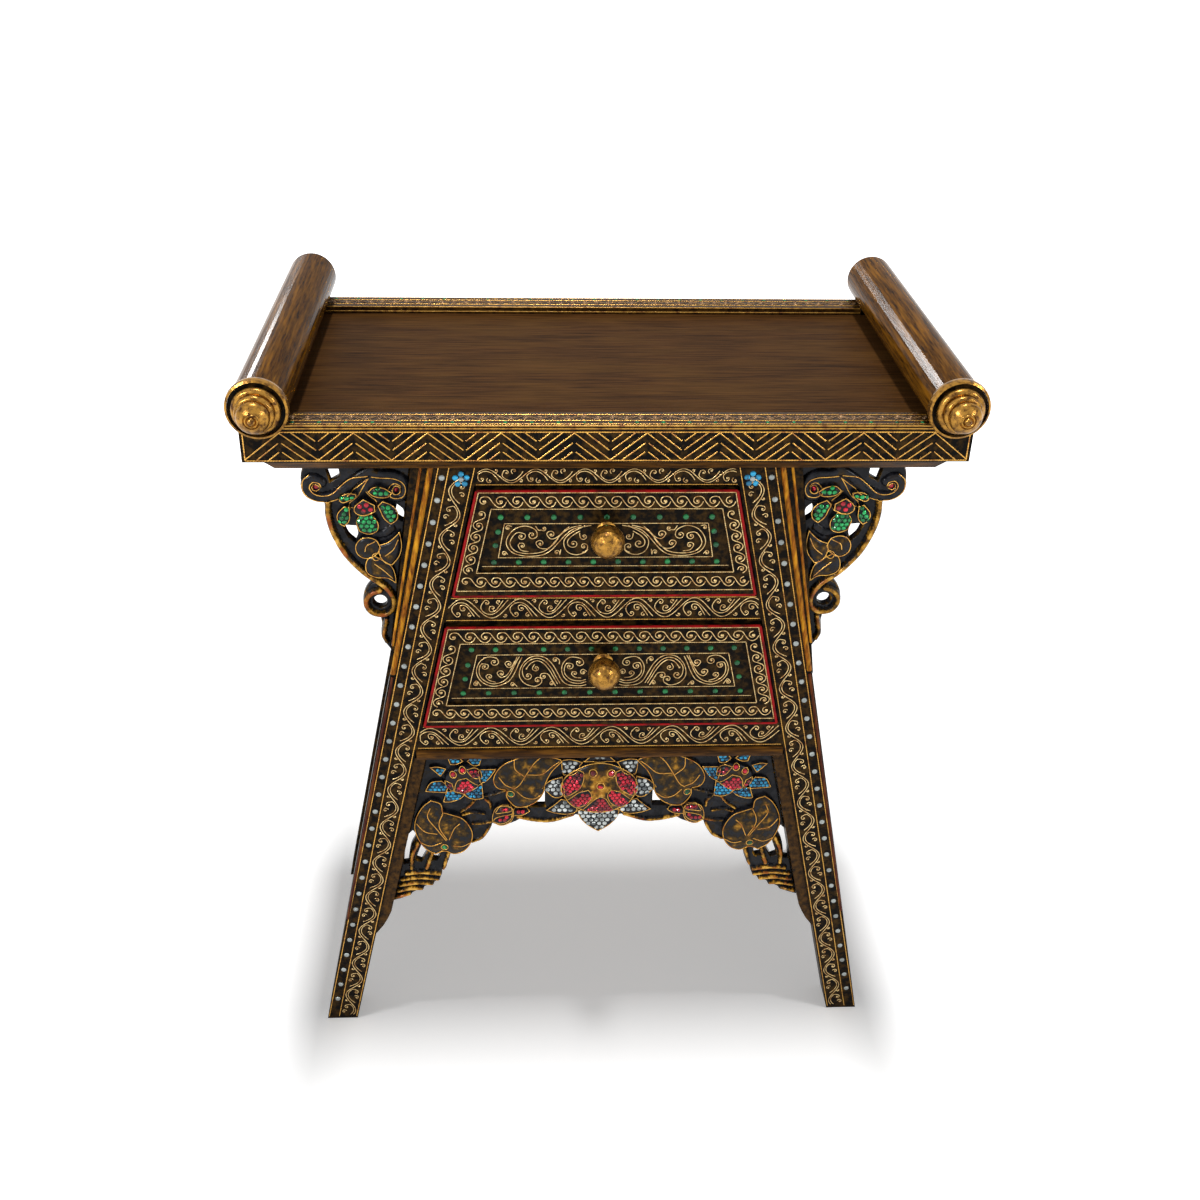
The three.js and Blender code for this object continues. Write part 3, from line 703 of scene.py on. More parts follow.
def apron_border(half_length):
    """The beaded lines round an apron board in (along, up)."""
    low, high = CHEVRON_LOW - BEADING_CLEAR[0], CHEVRON_HIGH + BEADING_CLEAR[1]
    return closed([(-half_length, low), (half_length, low), (half_length, high), (-half_length, high)])


def round_the_apron(front_lines, side_lines):
    """Lays the same drawing on the front, the back and the two sides of the apron."""
    laid = upright(front_lines, APRON_FACE) + upright(front_lines, APRON_BACK)
    looks = [FRONT] * len(front_lines) + [BACK] * len(front_lines)
    for side, look in ((-1, LEFT), (1, RIGHT)):
        for line in side_lines:
            x = np.full(len(line), side * APRON_HALF)
            laid.append(np.column_stack([x, line[:, 0] + DEPTH_MIDDLE, line[:, 1]]))
            looks.append(look)
    return laid, looks


END_CLEAR = 3.0
front_half = APRON_HALF - END_CLEAR
side_half = (APRON_BACK - APRON_FACE) / 2 - END_CLEAR
laid, looks = round_the_apron(chevrons(front_half), chevrons(side_half))
threads("apron_chevrons", laid, GOLD_THREAD, thickness=1.6, facing=looks)
laid, looks = round_the_apron(apron_border(front_half), apron_border(side_half))
threads("apron_beading", laid, GOLD_THREAD, thickness=1.8, bead=2.4, facing=looks)

# %% [markdown]
# The legs carry gold lines, a row of round glass studs and a vine, and a broad gilded ridge runs down
# beside the brackets. All of them follow the edges of the leg, which lean. Each is given by how far it
# lies from the edge at the top and at the foot, so one function draws them all. The ridge could be a
# board of its own. It is a thick thread that is half sunk in the wood, which looks just like a
# half-round moulding.

# %% Lines down the legs
LEG_TOP = 688.0
LEG_LOW = 3.0
BRACKET_FOOT = edge("wing_strip_front_left", 0, 2)
# Distances from an edge of the leg, at the top and at the foot.
BORDER_FROM_OUTER = [(9.4, 1.2), (18.8, 12.5)]
BORDER_FROM_INNER = (3.2, 1.6)
RIDGE_FROM_OUTER = (2.4, 2.4)
LOW_RIDGE_FROM_OUTER = (3.4, 1.4)
LOW_RIDGE_END = 150
STRIP_LINE_FROM_OUTER = (-6.4, 7.3)
STRIP_LINE_CLEAR = 36


def between(pair, z):
    """A distance that changes evenly from the leg's top to its foot."""
    share = (z - LEG_LOW) / (LEG_TOP - LEG_LOW)
    return pair[1] + (pair[0] - pair[1]) * share


def down_the_leg(distance, from_outer=True, top=LEG_TOP, low=LEG_LOW):
    """A line down the right-hand leg at that distance from one edge."""
    heights = np.linspace(top, low, 24)
    if from_outer:
        return np.array([(leg_outer(z) - between(distance, z), z) for z in heights])
    return np.array([(leg_inner(z) + between(distance, z), z) for z in heights])


def both_legs(lines):
    """Lines of the right-hand leg and their mirror images, laid on the legs' faces."""
    return upright(lines + mirrored(lines), LEG_FACE)


# Gilt over red bole, rubbed down along the ridge: streaks of orange, yellow and dark red.
LEG_RIDGE = stained_wood("gilded_ridge", "#3a1206", "#b06a14", "#e0a024", (1.6, 1.6, 12.0),
                         (5.0, 5.0, 22.0), 0.8, Roughness=0.3, Metallic=0.25, Specular_IOR_Level=0.1)
# The same ridge further down, where little more than the bole is left.
RED_RIDGE = stained_wood("red_brown_ridge", "#160906", "#5a1c0e", "#7a4413", (1.6, 1.6, 16.0),
                         (5.0, 5.0, 40.0), 0.6, Roughness=0.36, Specular_IOR_Level=0.1)
leg_lines = [down_the_leg(pair) for pair in BORDER_FROM_OUTER]
leg_lines.append(down_the_leg(BORDER_FROM_INNER, from_outer=False))
threads("leg_borders", both_legs(leg_lines), GOLD_THREAD, thickness=1.4, bead=2.6)
ridge = down_the_leg(RIDGE_FROM_OUTER, top=LEG_TOP, low=BRACKET_FOOT + 4)
threads("leg_ridges", both_legs([ridge]), LEG_RIDGE, thickness=5.2, sides=14)
low_ridge = down_the_leg(LOW_RIDGE_FROM_OUTER, top=BRACKET_FOOT, low=LOW_RIDGE_END)
threads("leg_low_ridges", both_legs([low_ridge]), RED_RIDGE, thickness=3.0,
        sides=10)
strip_line = down_the_leg(STRIP_LINE_FROM_OUTER, top=LEG_TOP, low=BRACKET_FOOT + STRIP_LINE_CLEAR)
threads("bracket_strip_lines", both_legs([strip_line]), LEG_RIDGE, thickness=2.8, sides=8)

# %% Studs down the legs
STUD_FROM_OUTER = (14.2, 7.0)
STUD_TOP = 674.0
STUD_FOOT = 10.0
STUD_SPACING = 22.2
STUD_RADIUS = 2.9
studs = []
for z in np.arange(STUD_TOP, STUD_FOOT, -STUD_SPACING):
    for side in (-1, 1):
        x = side * (leg_outer(z) - between(STUD_FROM_OUTER, z))
        studs.append(((x, LEG_FACE, z), FRONT, STUD_RADIUS))
domes("leg_studs", studs, GREY_GLASS, flatness=0.3)

# %% [markdown]
# The vine is one motif that repeats. A stem swings from edge to edge in even waves. Under each crest
# sit curls, and a thread leaves the larger ones, runs beside the stem and ends next to it, so two or
# three threads lie side by side on every slope. Each bay could be traced by itself, but a maker
# repeats one drawing and turns every second one over. A bay is drawn in shares of half its wave
# length and of the stem's rise, so it fits the rails, the legs and the bands. Curls keep their real
# radius in millimetres, because they have to stay round.

# %% A vine
# Each thread: the middle of its curl, the curl's radius, the angle at which it leaves the curl, and
# the points that it then passes.
WIDE_BAY = [
    ((-0.17, -0.58), 3.1, 250, [(-0.34, -0.4), (-0.36, 0.02), (-0.26, 0.41), (-0.07, 0.62), (0.12, 0.5),
                                (0.31, 0.0), (0.49, -0.62), (0.58, -0.9)]),
    ((0.03, -0.02), 2.9, 180, [(-0.07, 0.27), (0.02, 0.36), (0.15, 0.2), (0.28, -0.3), (0.4, -0.84)]),
    ((0.25, -0.7), 2.6, 90, []),
    ((-0.53, -0.72), 2.4, 200, []),
]
NARROW_BAY = [
    ((-0.2, -0.46), 3.0, 180, [(-0.36, 0.04), (-0.2, 0.52), (0.0, 0.66), (0.19, 0.44), (0.36, -0.08),
                               (0.48, -0.66)]),
    ((0.12, -0.7), 3.0, 120, []),
    ((0.38, 0.76), 2.4, 200, []),
]
FINE_BAY = [((0.0, -0.2), 2.0, 180, [(0.0, 0.5), (0.3, -0.1), (0.5, -0.8)])]
STEM_STEP = 1.1
VINE_STEP = 0.8


def vine(length, half, rise, bay, first=0.5):
    """A vine along a straight line. The first crest lies after that share of half a wave."""
    way = np.arange(0, length, STEM_STEP)
    stem = [np.column_stack([way, rise * np.cos(math.pi * (way / half - first))])]
    lines = []
    for i in range(int(length / half) + 1):
        turn = np.array([1, -1 if i % 2 else 1])
        for centre, radius, leave, after in bay:
            start = curl(np.array(centre) * (half, rise), radius, leave)
            drawing = rounded(start + [(u * half, v * rise) for u, v in after], VINE_STEP)
            drawing = drawing * turn + [(i + first) * half, 0]
            inside = drawing[(drawing[:, 0] > 0) & (drawing[:, 0] < length)]
            if len(inside) > 5:
                lines.append(inside)
    return stem, lines


print("threads in ten waves of a wide vine:", len(vine(20, 1, 1, WIDE_BAY)[1]))

# %% Vines on the rails
# Half a wave, the stem's rise, the bay, the low and high edge of the strip, and the first crest.
RAILS = [(22.0, 6.8, NARROW_BAY, 668.0, 684.0, 0.36), (27.3, 10.4, WIDE_BAY, 526.0, 551.0, 0.48),
         (30.0, 10.6, WIDE_BAY, 377.5, 403.0, 0.34)]
RAIL_EDGES = (685.2, 667.2, 549.6, 525.5, 402.2, 376.6)
EDGE_CLEAR = 1.5


def rail_vine(half, rise, bay, low, high, first):
    """The vine on a rail whose free strip runs from low to high."""
    middle = (low + high) / 2
    reach = leg_inner(middle) - 1
    stem, lines = vine(2 * reach, half, rise, bay, first)
    return [turned(part, (-reach, middle), (1, 0)) for part in (stem, lines)]


rail_stems, rail_curls = [], []
for sizes in RAILS:
    stem, lines = rail_vine(*sizes)
    rail_stems += stem
    rail_curls += lines
threads("rail_stems", upright(rail_stems, RAIL_FACE), PALE_THREAD, thickness=1.15)
threads("rail_vines", upright(rail_curls, RAIL_FACE), PALE_THREAD, thickness=1.05, ball=0.85)

rail_edges = []
for z in RAIL_EDGES:
    reach = leg_inner(z) - EDGE_CLEAR
    rail_edges.append(np.array([(-reach, z), (reach, z)]))
threads("rail_borders", upright(rail_edges, RAIL_FACE), GOLD_THREAD, thickness=1.4, bead=2.4)

# %% The vine down each leg
VINE_TOP = 673.0
VINE_FOOT = 6.0
LEG_HALF_WAVE = 24.6
LEG_RISE = 7.2


def vine_middle(z):
    """The middle between the leg's second gold line and the line along its inner edge."""
    outer_line = leg_outer(z) - between(BORDER_FROM_OUTER[1], z)
    inner_line = leg_inner(z) + between(BORDER_FROM_INNER, z)
    return np.array([(outer_line + inner_line) / 2, z])


run = vine_middle(VINE_FOOT) - vine_middle(VINE_TOP)
leg_vine = vine(float(np.linalg.norm(run)), LEG_HALF_WAVE, LEG_RISE, NARROW_BAY)
leg_stem, leg_curls = [turned(part, vine_middle(VINE_TOP), run) for part in leg_vine]
threads("leg_stems", both_legs(leg_stem), PALE_THREAD, thickness=1.15)
threads("leg_vines", both_legs(leg_curls), PALE_THREAD, thickness=1.05, ball=0.85)

# %% [markdown]
# At the head of each leg, beside the rail, sits a small flower of five blue glass dots round a
# grey one. Five equal angles place the petals, and the dome tree does the rest.

# %% Flowers at the leg heads
FLOWER_PLACE = (130.7, 672.4)
FLOWER_RING = 5.3
PETAL_RADIUS = 2.9
HEART_RADIUS = 2.7
flower_petals, flower_hearts = [], []
for side in (-1, 1):
    flower_hearts.append(((side * FLOWER_PLACE[0], LEG_FACE, FLOWER_PLACE[1]), FRONT, HEART_RADIUS))
    for i in range(5):
        angle = math.radians(90 + 72 * i)
        x = side * FLOWER_PLACE[0] + FLOWER_RING * math.cos(angle)
        z = FLOWER_PLACE[1] + FLOWER_RING * math.sin(angle)
        flower_petals.append(((x, LEG_FACE, z), FRONT, PETAL_RADIUS))
domes("head_flower_petals", flower_petals, BLUE_GLASS)
domes("head_flower_hearts", flower_hearts, GREY_GLASS)

# %% [markdown]
# Each drawer front has a raised border and a sunk field. The border carries a running scroll: a
# curl, whose thread leaves over its own top, dives under the next curl and hooks up behind it. Drawn
# once and repeated, it turns the corner simply by running down the slanting side. A bright red thread
# is half sunk in the very edge of the front.

# %% Drawer borders
FRAME_SIDE = 18
DRAWER_GAP = 2
# How far a line lies from the front's foot, its head and its slanting sides.
OUTER_LINE = (7, 1.9, 2.6)
INNER_LINE = (26, 18.2, 17.2)
SCROLL_LINE = (17, 10.2, 9.2)
SIDE_SCROLL_INSET = 9.6
SIDE_SCROLL_ENDS = (12, 13)
TOP_SPACING = 15.0
BOTTOM_SPACING = 13.7
SIDE_SPACING = 12.8


def running_scroll(start, end, spacing):
    """Curls in a row from one point to another, each linked to the next."""
    start, end = np.asarray(start, float), np.asarray(end, float)
    length = np.linalg.norm(end - start)
    count = max(1, int(round(length / spacing)))
    s = length / count
    lines = []
    for i in range(count + 1):
        points = curl((0, 0), 0.3 * s, 90, 1.2)
        if i < count:
            points += [(0.3 * s, 0.25 * s), (0.56 * s, -0.12 * s), (0.76 * s, -0.35 * s),
                       (1.0 * s, -0.43 * s), (1.24 * s, -0.3 * s), (1.37 * s, -0.04 * s)]
        lines.append(rounded(points, 0.7) + [i * s, 0])
    return turned(lines, start, end - start)


def drawer_half(z):
    """Half the width of a drawer front at that height."""
    return leg_inner(z) - DRAWER_GAP


def slanted_box(low, high, inset):
    """The four corners of a trapezium that keeps its distance from the front's slanting sides."""
    return [(drawer_half(low) - inset, low), (-drawer_half(low) + inset, low),
            (-drawer_half(high) + inset, high), (drawer_half(high) - inset, high)]


def drawer_border(low, high):
    """The border's beaded lines and its running scroll, for a front from low to high."""
    lines = []
    for foot, head, inset in (OUTER_LINE, INNER_LINE):
        lines += closed(slanted_box(low + foot, high - head, inset))
    foot, head, inset = SCROLL_LINE
    top, bottom = high - head, low + foot
    half_top, half_bottom = drawer_half(top) - inset, drawer_half(bottom) - inset
    scrolls = running_scroll((-half_top, top), (half_top, top), TOP_SPACING)
    scrolls += running_scroll((-half_bottom, bottom), (half_bottom, bottom), BOTTOM_SPACING)
    side_top, side_bottom = top - SIDE_SCROLL_ENDS[1], bottom + SIDE_SCROLL_ENDS[0]
    left = running_scroll((-drawer_half(side_top) + SIDE_SCROLL_INSET, side_top),
                          (-drawer_half(side_bottom) + SIDE_SCROLL_INSET, side_bottom), SIDE_SPACING)
    return lines, scrolls + left + mirrored(left)


EDGE_IN = 0.9
for word in ("upper", "lower"):
    low, high = edge(f"drawer_{word}_front", 0, 2), edge(f"drawer_{word}_front", 1, 2)
    borders, scrolls = drawer_border(low, high)
    threads(f"{word}_border_beading", upright(borders, DRAWER_FACE), PALE_THREAD, f"drawer_{word}",
            thickness=1.4, bead=2.2)
    threads(f"{word}_border_scroll", upright(scrolls, DRAWER_FACE), PALE_THREAD, f"drawer_{word}",
            thickness=1.1, ball=1.6)
    red_line = closed(slanted_box(low + EDGE_IN, high - EDGE_IN, EDGE_IN))
    threads(f"{word}_red_edge", upright(red_line, DRAWER_FACE + EDGE_IN), RED_EDGE, f"drawer_{word}",
            thickness=3.2)

# %% [markdown]
# In the sunk field a row of green glass dots runs round a beaded frame, and the frame is filled with
# large scrolls. These do not repeat, so each thread is drawn by its curl and the points it passes.
# The two halves mirror each other about the knob.

# %% Threads of the upper field
FIELD_TURNS = 1.4


def drawn(centre, radius, leave, way, clockwise=True):
    """A thread that starts in a curl and goes on through some points."""
    return rounded(curl(centre, radius, leave, FIELD_TURNS, clockwise) + way)


upper_scrolls = [
    drawn((-67.7, 618), 4.6, 0, [
        (-65, 623.5), (-73.5, 627.3), (-83.4, 624.2), (-89.8, 616.3), (-91.2, 608), (-86.5, 600.4),
        (-78, 596.9), (-67.7, 596), (-57.2, 597.8), (-50, 602.7), (-43, 611), (-36.8, 618.5),
        (-29, 624.4), (-14, 627.8)], False),
    drawn((-77.6, 616.5), 4.0, 40, [
        (-80.5, 620.6), (-85, 617), (-88, 609.2), (-83.6, 601.8), (-74, 598.9), (-61.4, 599.7),
        (-53.4, 603.5), (-46.6, 611.6), (-40.3, 619.6), (-33, 625), (-23, 627.8)], False),
    drawn((-60.4, 609.2), 3.8, 180, [(-61, 604.6), (-54, 603.9), (-48.6, 608), (-44, 614.2)], False),
    drawn((-50.4, 618.6), 4.0, 180, [
        (-50.6, 613.9), (-44.6, 615.8), (-39.4, 621.5), (-34, 626.4)], False),
    drawn((-77.1, 607), 3.4, 180, [(-77.6, 602.2), (-71, 600.9)], False),
    rounded([(-20, 627), (-31, 621), (-37.9, 614), (-38.6, 606.9), (-35.3, 600.4), (-28, 597.4),
             (-20.1, 599.4), (-16.5, 603)]),
    drawn((-30, 609), 4.2, 240, [(-34.9, 607.5), (-35.2, 612), (-31.1, 617.2), (-24, 621.9)]),
    drawn((-20.6, 616.3), 3.7, 170, [(-24.5, 620)]),
    drawn((-20.4, 606), 3.4, 0, [(-18, 601.7), (-22, 599.6)]),
    drawn((-57.2, 624.6), 2.6, 215, [(-62, 623), (-64.6, 627.2)]),
    drawn((-89.6, 625.4), 2.3, 90, [(-86, 627)]),
    drawn((-93, 599), 2.3, 90, [(-90, 598)]),
    drawn((-45.2, 599.8), 2.5, 20, [(-42.4, 597.4), (-41.6, 603)]),
]
print("threads in the upper field:", 2 * len(upper_scrolls))

# %% Threads of the lower field
lower_scrolls = [
    drawn((-104.8, 480.2), 4.2, 0, [
        (-102.5, 484.6), (-110.1, 486.2), (-117.6, 481.8), (-121.6, 473.2), (-121.2, 464.6),
        (-116.2, 456.9), (-107.9, 452.6), (-99.2, 453.6), (-90.4, 458.8), (-84.9, 468.5), (-81.4, 477.8),
        (-78, 485.6)], False),
    drawn((-114, 475), 3.8, 40, [
        (-117, 478), (-119.3, 472), (-118.6, 464.6), (-113.6, 458.3), (-105.7, 455.2), (-97.2, 457.6),
        (-90.9, 464), (-86.3, 473.8), (-83, 481.6), (-80.5, 486.4)], False),
    drawn((-98.3, 467.2), 3.7, 180, [
        (-98.6, 462.6), (-93.4, 464.6), (-89, 471.4), (-85.3, 479), (-82.7, 486.4)], False),
    drawn((-90.9, 478.2), 3.5, 180, [(-91.4, 474), (-87.7, 475.8), (-84.8, 481.5)], False),
    drawn((-109.6, 463.4), 3.3, 180, [(-109.6, 459.2), (-103.4, 457)], False),
    drawn((-63, 459), 4.0, 0, [
        (-60.4, 454.9), (-66.3, 451.9), (-75, 454.9), (-80.2, 462), (-80.4, 470), (-77, 478.5),
        (-71, 484.9), (-63, 487), (-55.3, 484.4), (-48.7, 477), (-43.8, 467.2), (-39.4, 458.2),
        (-33.3, 453.4), (-22.4, 452), (-16, 453.4)]),
    drawn((-72.3, 464), 4.2, 240, [
        (-77.3, 465), (-77.2, 473.8), (-71, 481.6), (-63, 484.2), (-55.8, 480.6), (-49.8, 472.5),
        (-45.6, 463.3), (-41.3, 454.7)]),
    rounded([(-74, 472.5), (-69.4, 478.8), (-63, 481.4), (-57, 477.8), (-51.6, 470.2), (-47.6, 462.2),
             (-43.8, 454.4)]),
    drawn((-64.6, 472.8), 3.6, 180, [(-66, 477.4)]),
    drawn((-57.5, 463.4), 3.6, 100, [(-53.2, 465.9), (-49.6, 459.6), (-46.2, 453.6)]),
    drawn((-22.9, 478.8), 4.2, 0, [
        (-21.4, 483.4), (-31.1, 485.3), (-37.7, 479.8), (-40, 471.2), (-37.5, 462.2), (-31.1, 456.4),
        (-22.4, 454.9), (-16, 457)], False),
    drawn((-32.4, 474.6), 3.8, 50, [
        (-35.2, 478), (-37.4, 471.5), (-36, 464.8), (-30, 459.2), (-21.3, 457.8),
        (-16.5, 459.4)], False),
    drawn((-27.4, 466.4), 3.0, 200, [(-26.6, 462), (-21, 461.2)], False),
    drawn((-19, 468), 3.2, 90, [(-15.5, 468.5)]),
    drawn((-122.6, 455.4), 2.4, 180, [(-122, 458.6), (-118, 453)]),
    drawn((-87.1, 454.2), 2.4, 90, [(-83.2, 452)]),
    drawn((-49.3, 454.9), 2.4, 90, [(-45.6, 452.2)]),
    drawn((-46, 482.4), 2.7, 90, [(-42.2, 482), (-42.4, 477.4)]),
]
print("threads in the lower field:", 2 * len(lower_scrolls))

# %% Frames, scrolls and glass of both fields


def dots_between(start, end, count):
    """Evenly spaced points on a straight line, ends included."""
    run = np.asarray(end) - start
    return [tuple(np.asarray(start) + run * i / (count - 1)) for i in range(count)]


DOT_RADIUS = 2.9
upper_dots = dots_between((-96, 636), (96, 636), 9) + dots_between((-103, 589.6), (103, 589.6), 10)
upper_dots += [(x * side, z) for x, z in ((98.6, 621.2), (101.2, 607.2)) for side in (-1, 1)]
lower_dots = dots_between((-126, 494.4), (126, 494.4), 12)
lower_dots += dots_between((-135.4, 444.2), (135.4, 444.2), 12)
lower_dots += [(x * side, z) for x, z in ((130, 477), (133, 461)) for side in (-1, 1)]
# The scrolls, the frame's corners, the dots, and the height of the line below them.
FIELDS = {
    "upper": (upper_scrolls, [(-98.8, 594.5), (98.8, 594.5), (92.8, 629.6), (-92.8, 629.6)],
              upper_dots, 585.4),
    "lower": (lower_scrolls, [(-129.6, 449.8), (129.6, 449.8), (121, 488.4), (-121, 488.4)],
              lower_dots, 438.6),
}
for word, (scrolls, corners, dots, foot) in FIELDS.items():
    body = f"drawer_{word}"
    threads(f"{word}_field_scroll", upright(scrolls + mirrored(scrolls), FIELD_FACE), PALE_THREAD, body,
            thickness=1.1, ball=1.2)
    reach = drawer_half(foot) - FRAME_SIDE - END_CLEAR
    lines = closed(corners) + [np.array([(-reach, foot), (reach, foot)])]
    threads(f"{word}_field_beading", upright(lines, FIELD_FACE), PALE_THREAD, body, thickness=1.2,
            bead=2.2)
    domes(f"{word}_green_dots", [((x, FIELD_FACE, z), FRONT, DOT_RADIUS) for x, z in dots], DOT_GLASS,
          body)

# %% [markdown]
# The two raised bands on the top are framed by gold lines. Between them runs a fine vine, and along
# the outer edge sits a row of small green glass dots. Two more lines run along each of the band's
# long sides. The same tools draw them, only that the board now looks up instead of to the front.

# %% Bands on the top
TRAY_TOP = edge("tray_board", 1, 2)
# Distances inwards from the outermost line.
BAND_ROWS = (0, 7.6, 20.5)
BAND_VINE = 14.0
BAND_DOTS = 4
BAND_LINE_END = BAND_HALF - 1
BAND_VINE_END = BAND_HALF - 3
BAND_DOT_END = BAND_HALF - 10
OUTER_HEIGHTS = (BAND_TOP - 1.0, BAND_TOP - 3.6)
INNER_HEIGHTS = (BAND_TOP - 1.0, TRAY_TOP + 2.4)


def band_lines(side):
    """Lines, stem, curls and dots of one band in (X, Y). Side is -1 at the front."""
    outer = (APRON_FACE if side < 0 else APRON_BACK) - side * 1.0
    rows = [outer - side * row for row in BAND_ROWS]
    straight = [np.array([(-BAND_LINE_END, y), (BAND_LINE_END, y)]) for y in rows]
    stem, curls = [turned(part, (-BAND_VINE_END, outer - side * BAND_VINE), (1, 0))
                   for part in vine(2 * BAND_VINE_END, 12.4, 3.6, FINE_BAY)]
    y = outer - side * BAND_DOTS
    return straight, stem + curls, dots_between((-BAND_DOT_END, y), (BAND_DOT_END, y), 25)


band_straight, band_vine, band_dots, band_sides, side_looks = [], [], [], [], []
for side, name in ((-1, "band_front"), (1, "band_back")):
    straight, placed, dots = band_lines(side)
    band_straight += straight
    band_vine += placed
    band_dots += [((x, y, BAND_TOP), UP, 1.9) for x, y in dots]
    outer, inner = (0, 1) if side < 0 else (1, 0)
    for corner, heights, look in ((outer, OUTER_HEIGHTS, side), (inner, INNER_HEIGHTS, -side)):
        lines = [np.array([(-BAND_LINE_END, z), (BAND_LINE_END, z)]) for z in heights]
        band_sides += upright(lines, edge(name, corner, 1))
        side_looks += [(0.0, float(look), 0.0)] * len(lines)
threads("band_lines", level(band_straight, BAND_TOP), GOLD_THREAD, thickness=1.3, bead=2.6, facing=UP)
threads("band_side_lines", band_sides, GOLD_THREAD, thickness=1.6, facing=side_looks)
threads("band_vines", level(band_vine, BAND_TOP), DULL_THREAD, thickness=1.1, ball=0.9, facing=UP)
domes("band_green_dots", band_dots, DOT_GLASS)

# %% [markdown]
# The skirt and the two brackets are carved through: lotus flowers, buds and leaves stand before a
# dark ground, and light falls through the gaps. A carver draws outlines on the board and cuts them
# down one after the other. Sculpting by hand would be free, but couldn't be repeated by a script.
# The carver's order works here. Every form has an outline as seen from the front, a height at its
# edge and a swelling towards its middle, and a later form covers an earlier one. The surface is then
# a height for every point of the board, which is easy to compute and easy to close into a solid.

# %% Outlines and distances
CARVING_BACK = edge("skirt_carving", 1, 1)
OUTLINE_STEP = 1.3
SHARP_TURN = 58
FAR = 1e9
TINY = 1e-9


def loop(points):
    """A closed smooth line through the points, which stays sharp where it turns sharply."""
    knots = np.asarray(points, float)
    ahead = np.roll(knots, -1, 0) - knots
    behind = knots - np.roll(knots, 1, 0)
    length = np.linalg.norm(ahead, axis=1)
    into = behind / np.linalg.norm(behind, axis=1)[:, None]
    out = ahead / length[:, None]
    corner = (into * out).sum(axis=1) < math.cos(math.radians(SHARP_TURN))
    middle = into + out
    middle /= np.linalg.norm(middle, axis=1)[:, None] + TINY
    line = []
    for i in range(len(knots)):
        j = (i + 1) % len(knots)
        start = (out[i] if corner[i] else middle[i]) * length[i]
        end = (out[i] if corner[j] else middle[j]) * length[i]
        count = max(1, int(round(length[i] / OUTLINE_STEP)))
        for t in np.arange(count) / count:
            line.append((2 * t ** 3 - 3 * t * t + 1) * knots[i] + (t ** 3 - 2 * t * t + t) * start
                        + (3 * t * t - 2 * t ** 3) * knots[j] + (t ** 3 - t * t) * end)
    return np.array(line)


def gap_to(points, line):
    """The distance of each point from an open line."""
    nearest = np.full(len(points), FAR)
    for start, end in zip(line[:-1], line[1:]):
        run = end - start
        away = points - start
        share = np.clip(away @ run / max(run @ run, TINY), 0, 1)
        nearest = np.minimum(nearest, np.hypot(*(away - np.outer(share, run)).T))
    return nearest


def depth_in(points, line):
    """How deep each point lies inside a closed line. Outside it the depth is below zero."""
    ends = np.roll(line, -1, 0)
    within = np.zeros(len(points), bool)
    for start, end in zip(line, ends):
        spans = (start[1] > points[:, 1]) != (end[1] > points[:, 1])
        if spans.any():
            rise = end[1] - start[1]
            crossing = start[0] + (points[:, 1] - start[1]) * (end[0] - start[0]) / rise
            within ^= spans & (points[:, 0] < crossing)
    gap = gap_to(points, np.vstack([line, line[:1]]))
    return np.where(within, gap, -gap)


def beside(line, gap):
    """The line moved sideways by a gap."""
    run = np.gradient(line, axis=0)
    run /= np.linalg.norm(run, axis=1)[:, None] + TINY
    return line + np.column_stack([-run[:, 1], run[:, 0]]) * gap


print("a square of ten millimetres becomes", len(loop([(0, 0), (10, 0), (10, 10), (0, 10)])), "points")

# %% Forms of a carving
# The board's edge is rounded off, over this depth and by this height, and rubbed gold near it.
EDGE_WIDTH = 1.6
EDGE_DROP = 1.4
EDGE_GOLD_WIDTH = 1.3
EDGE_GOLD = 0.45
GROUND_GOLD = 0.06
# A swelling with more than a little gold is painted brighter on its crest and darker at its foot: partly
# rubbed gold, partly painted light and shade of the relief.
CREST_GOLD_AND_SHADE = 0.3
EVEN_SWELL = 0.75
LITTLE_GOLD = 0.15
# A stem keeps its gold over this share of its width, and less of it beside that.
STEM_CROWN = 0.6
STEM_SIDE_GOLD = 0.6


def form(outline, foot, rise, soft, gold, over=False):
    """A swelling with an outline. Over means that it lies on what is below instead of covering it."""
    return {"line": loop(outline), "foot": foot, "rise": rise, "soft": soft, "gold": gold, "over": over,
            "width": 0}


def strand(way, width, foot, rise, gold=0.8):
    """A round stem along an open line."""
    return {"line": rounded(way, OUTLINE_STEP), "foot": foot, "rise": rise, "gold": gold, "width": width / 2}


def other_side(shape):
    """The same form on the other side of the middle."""
    return {**shape, "line": shape["line"] * [-1, 1]}


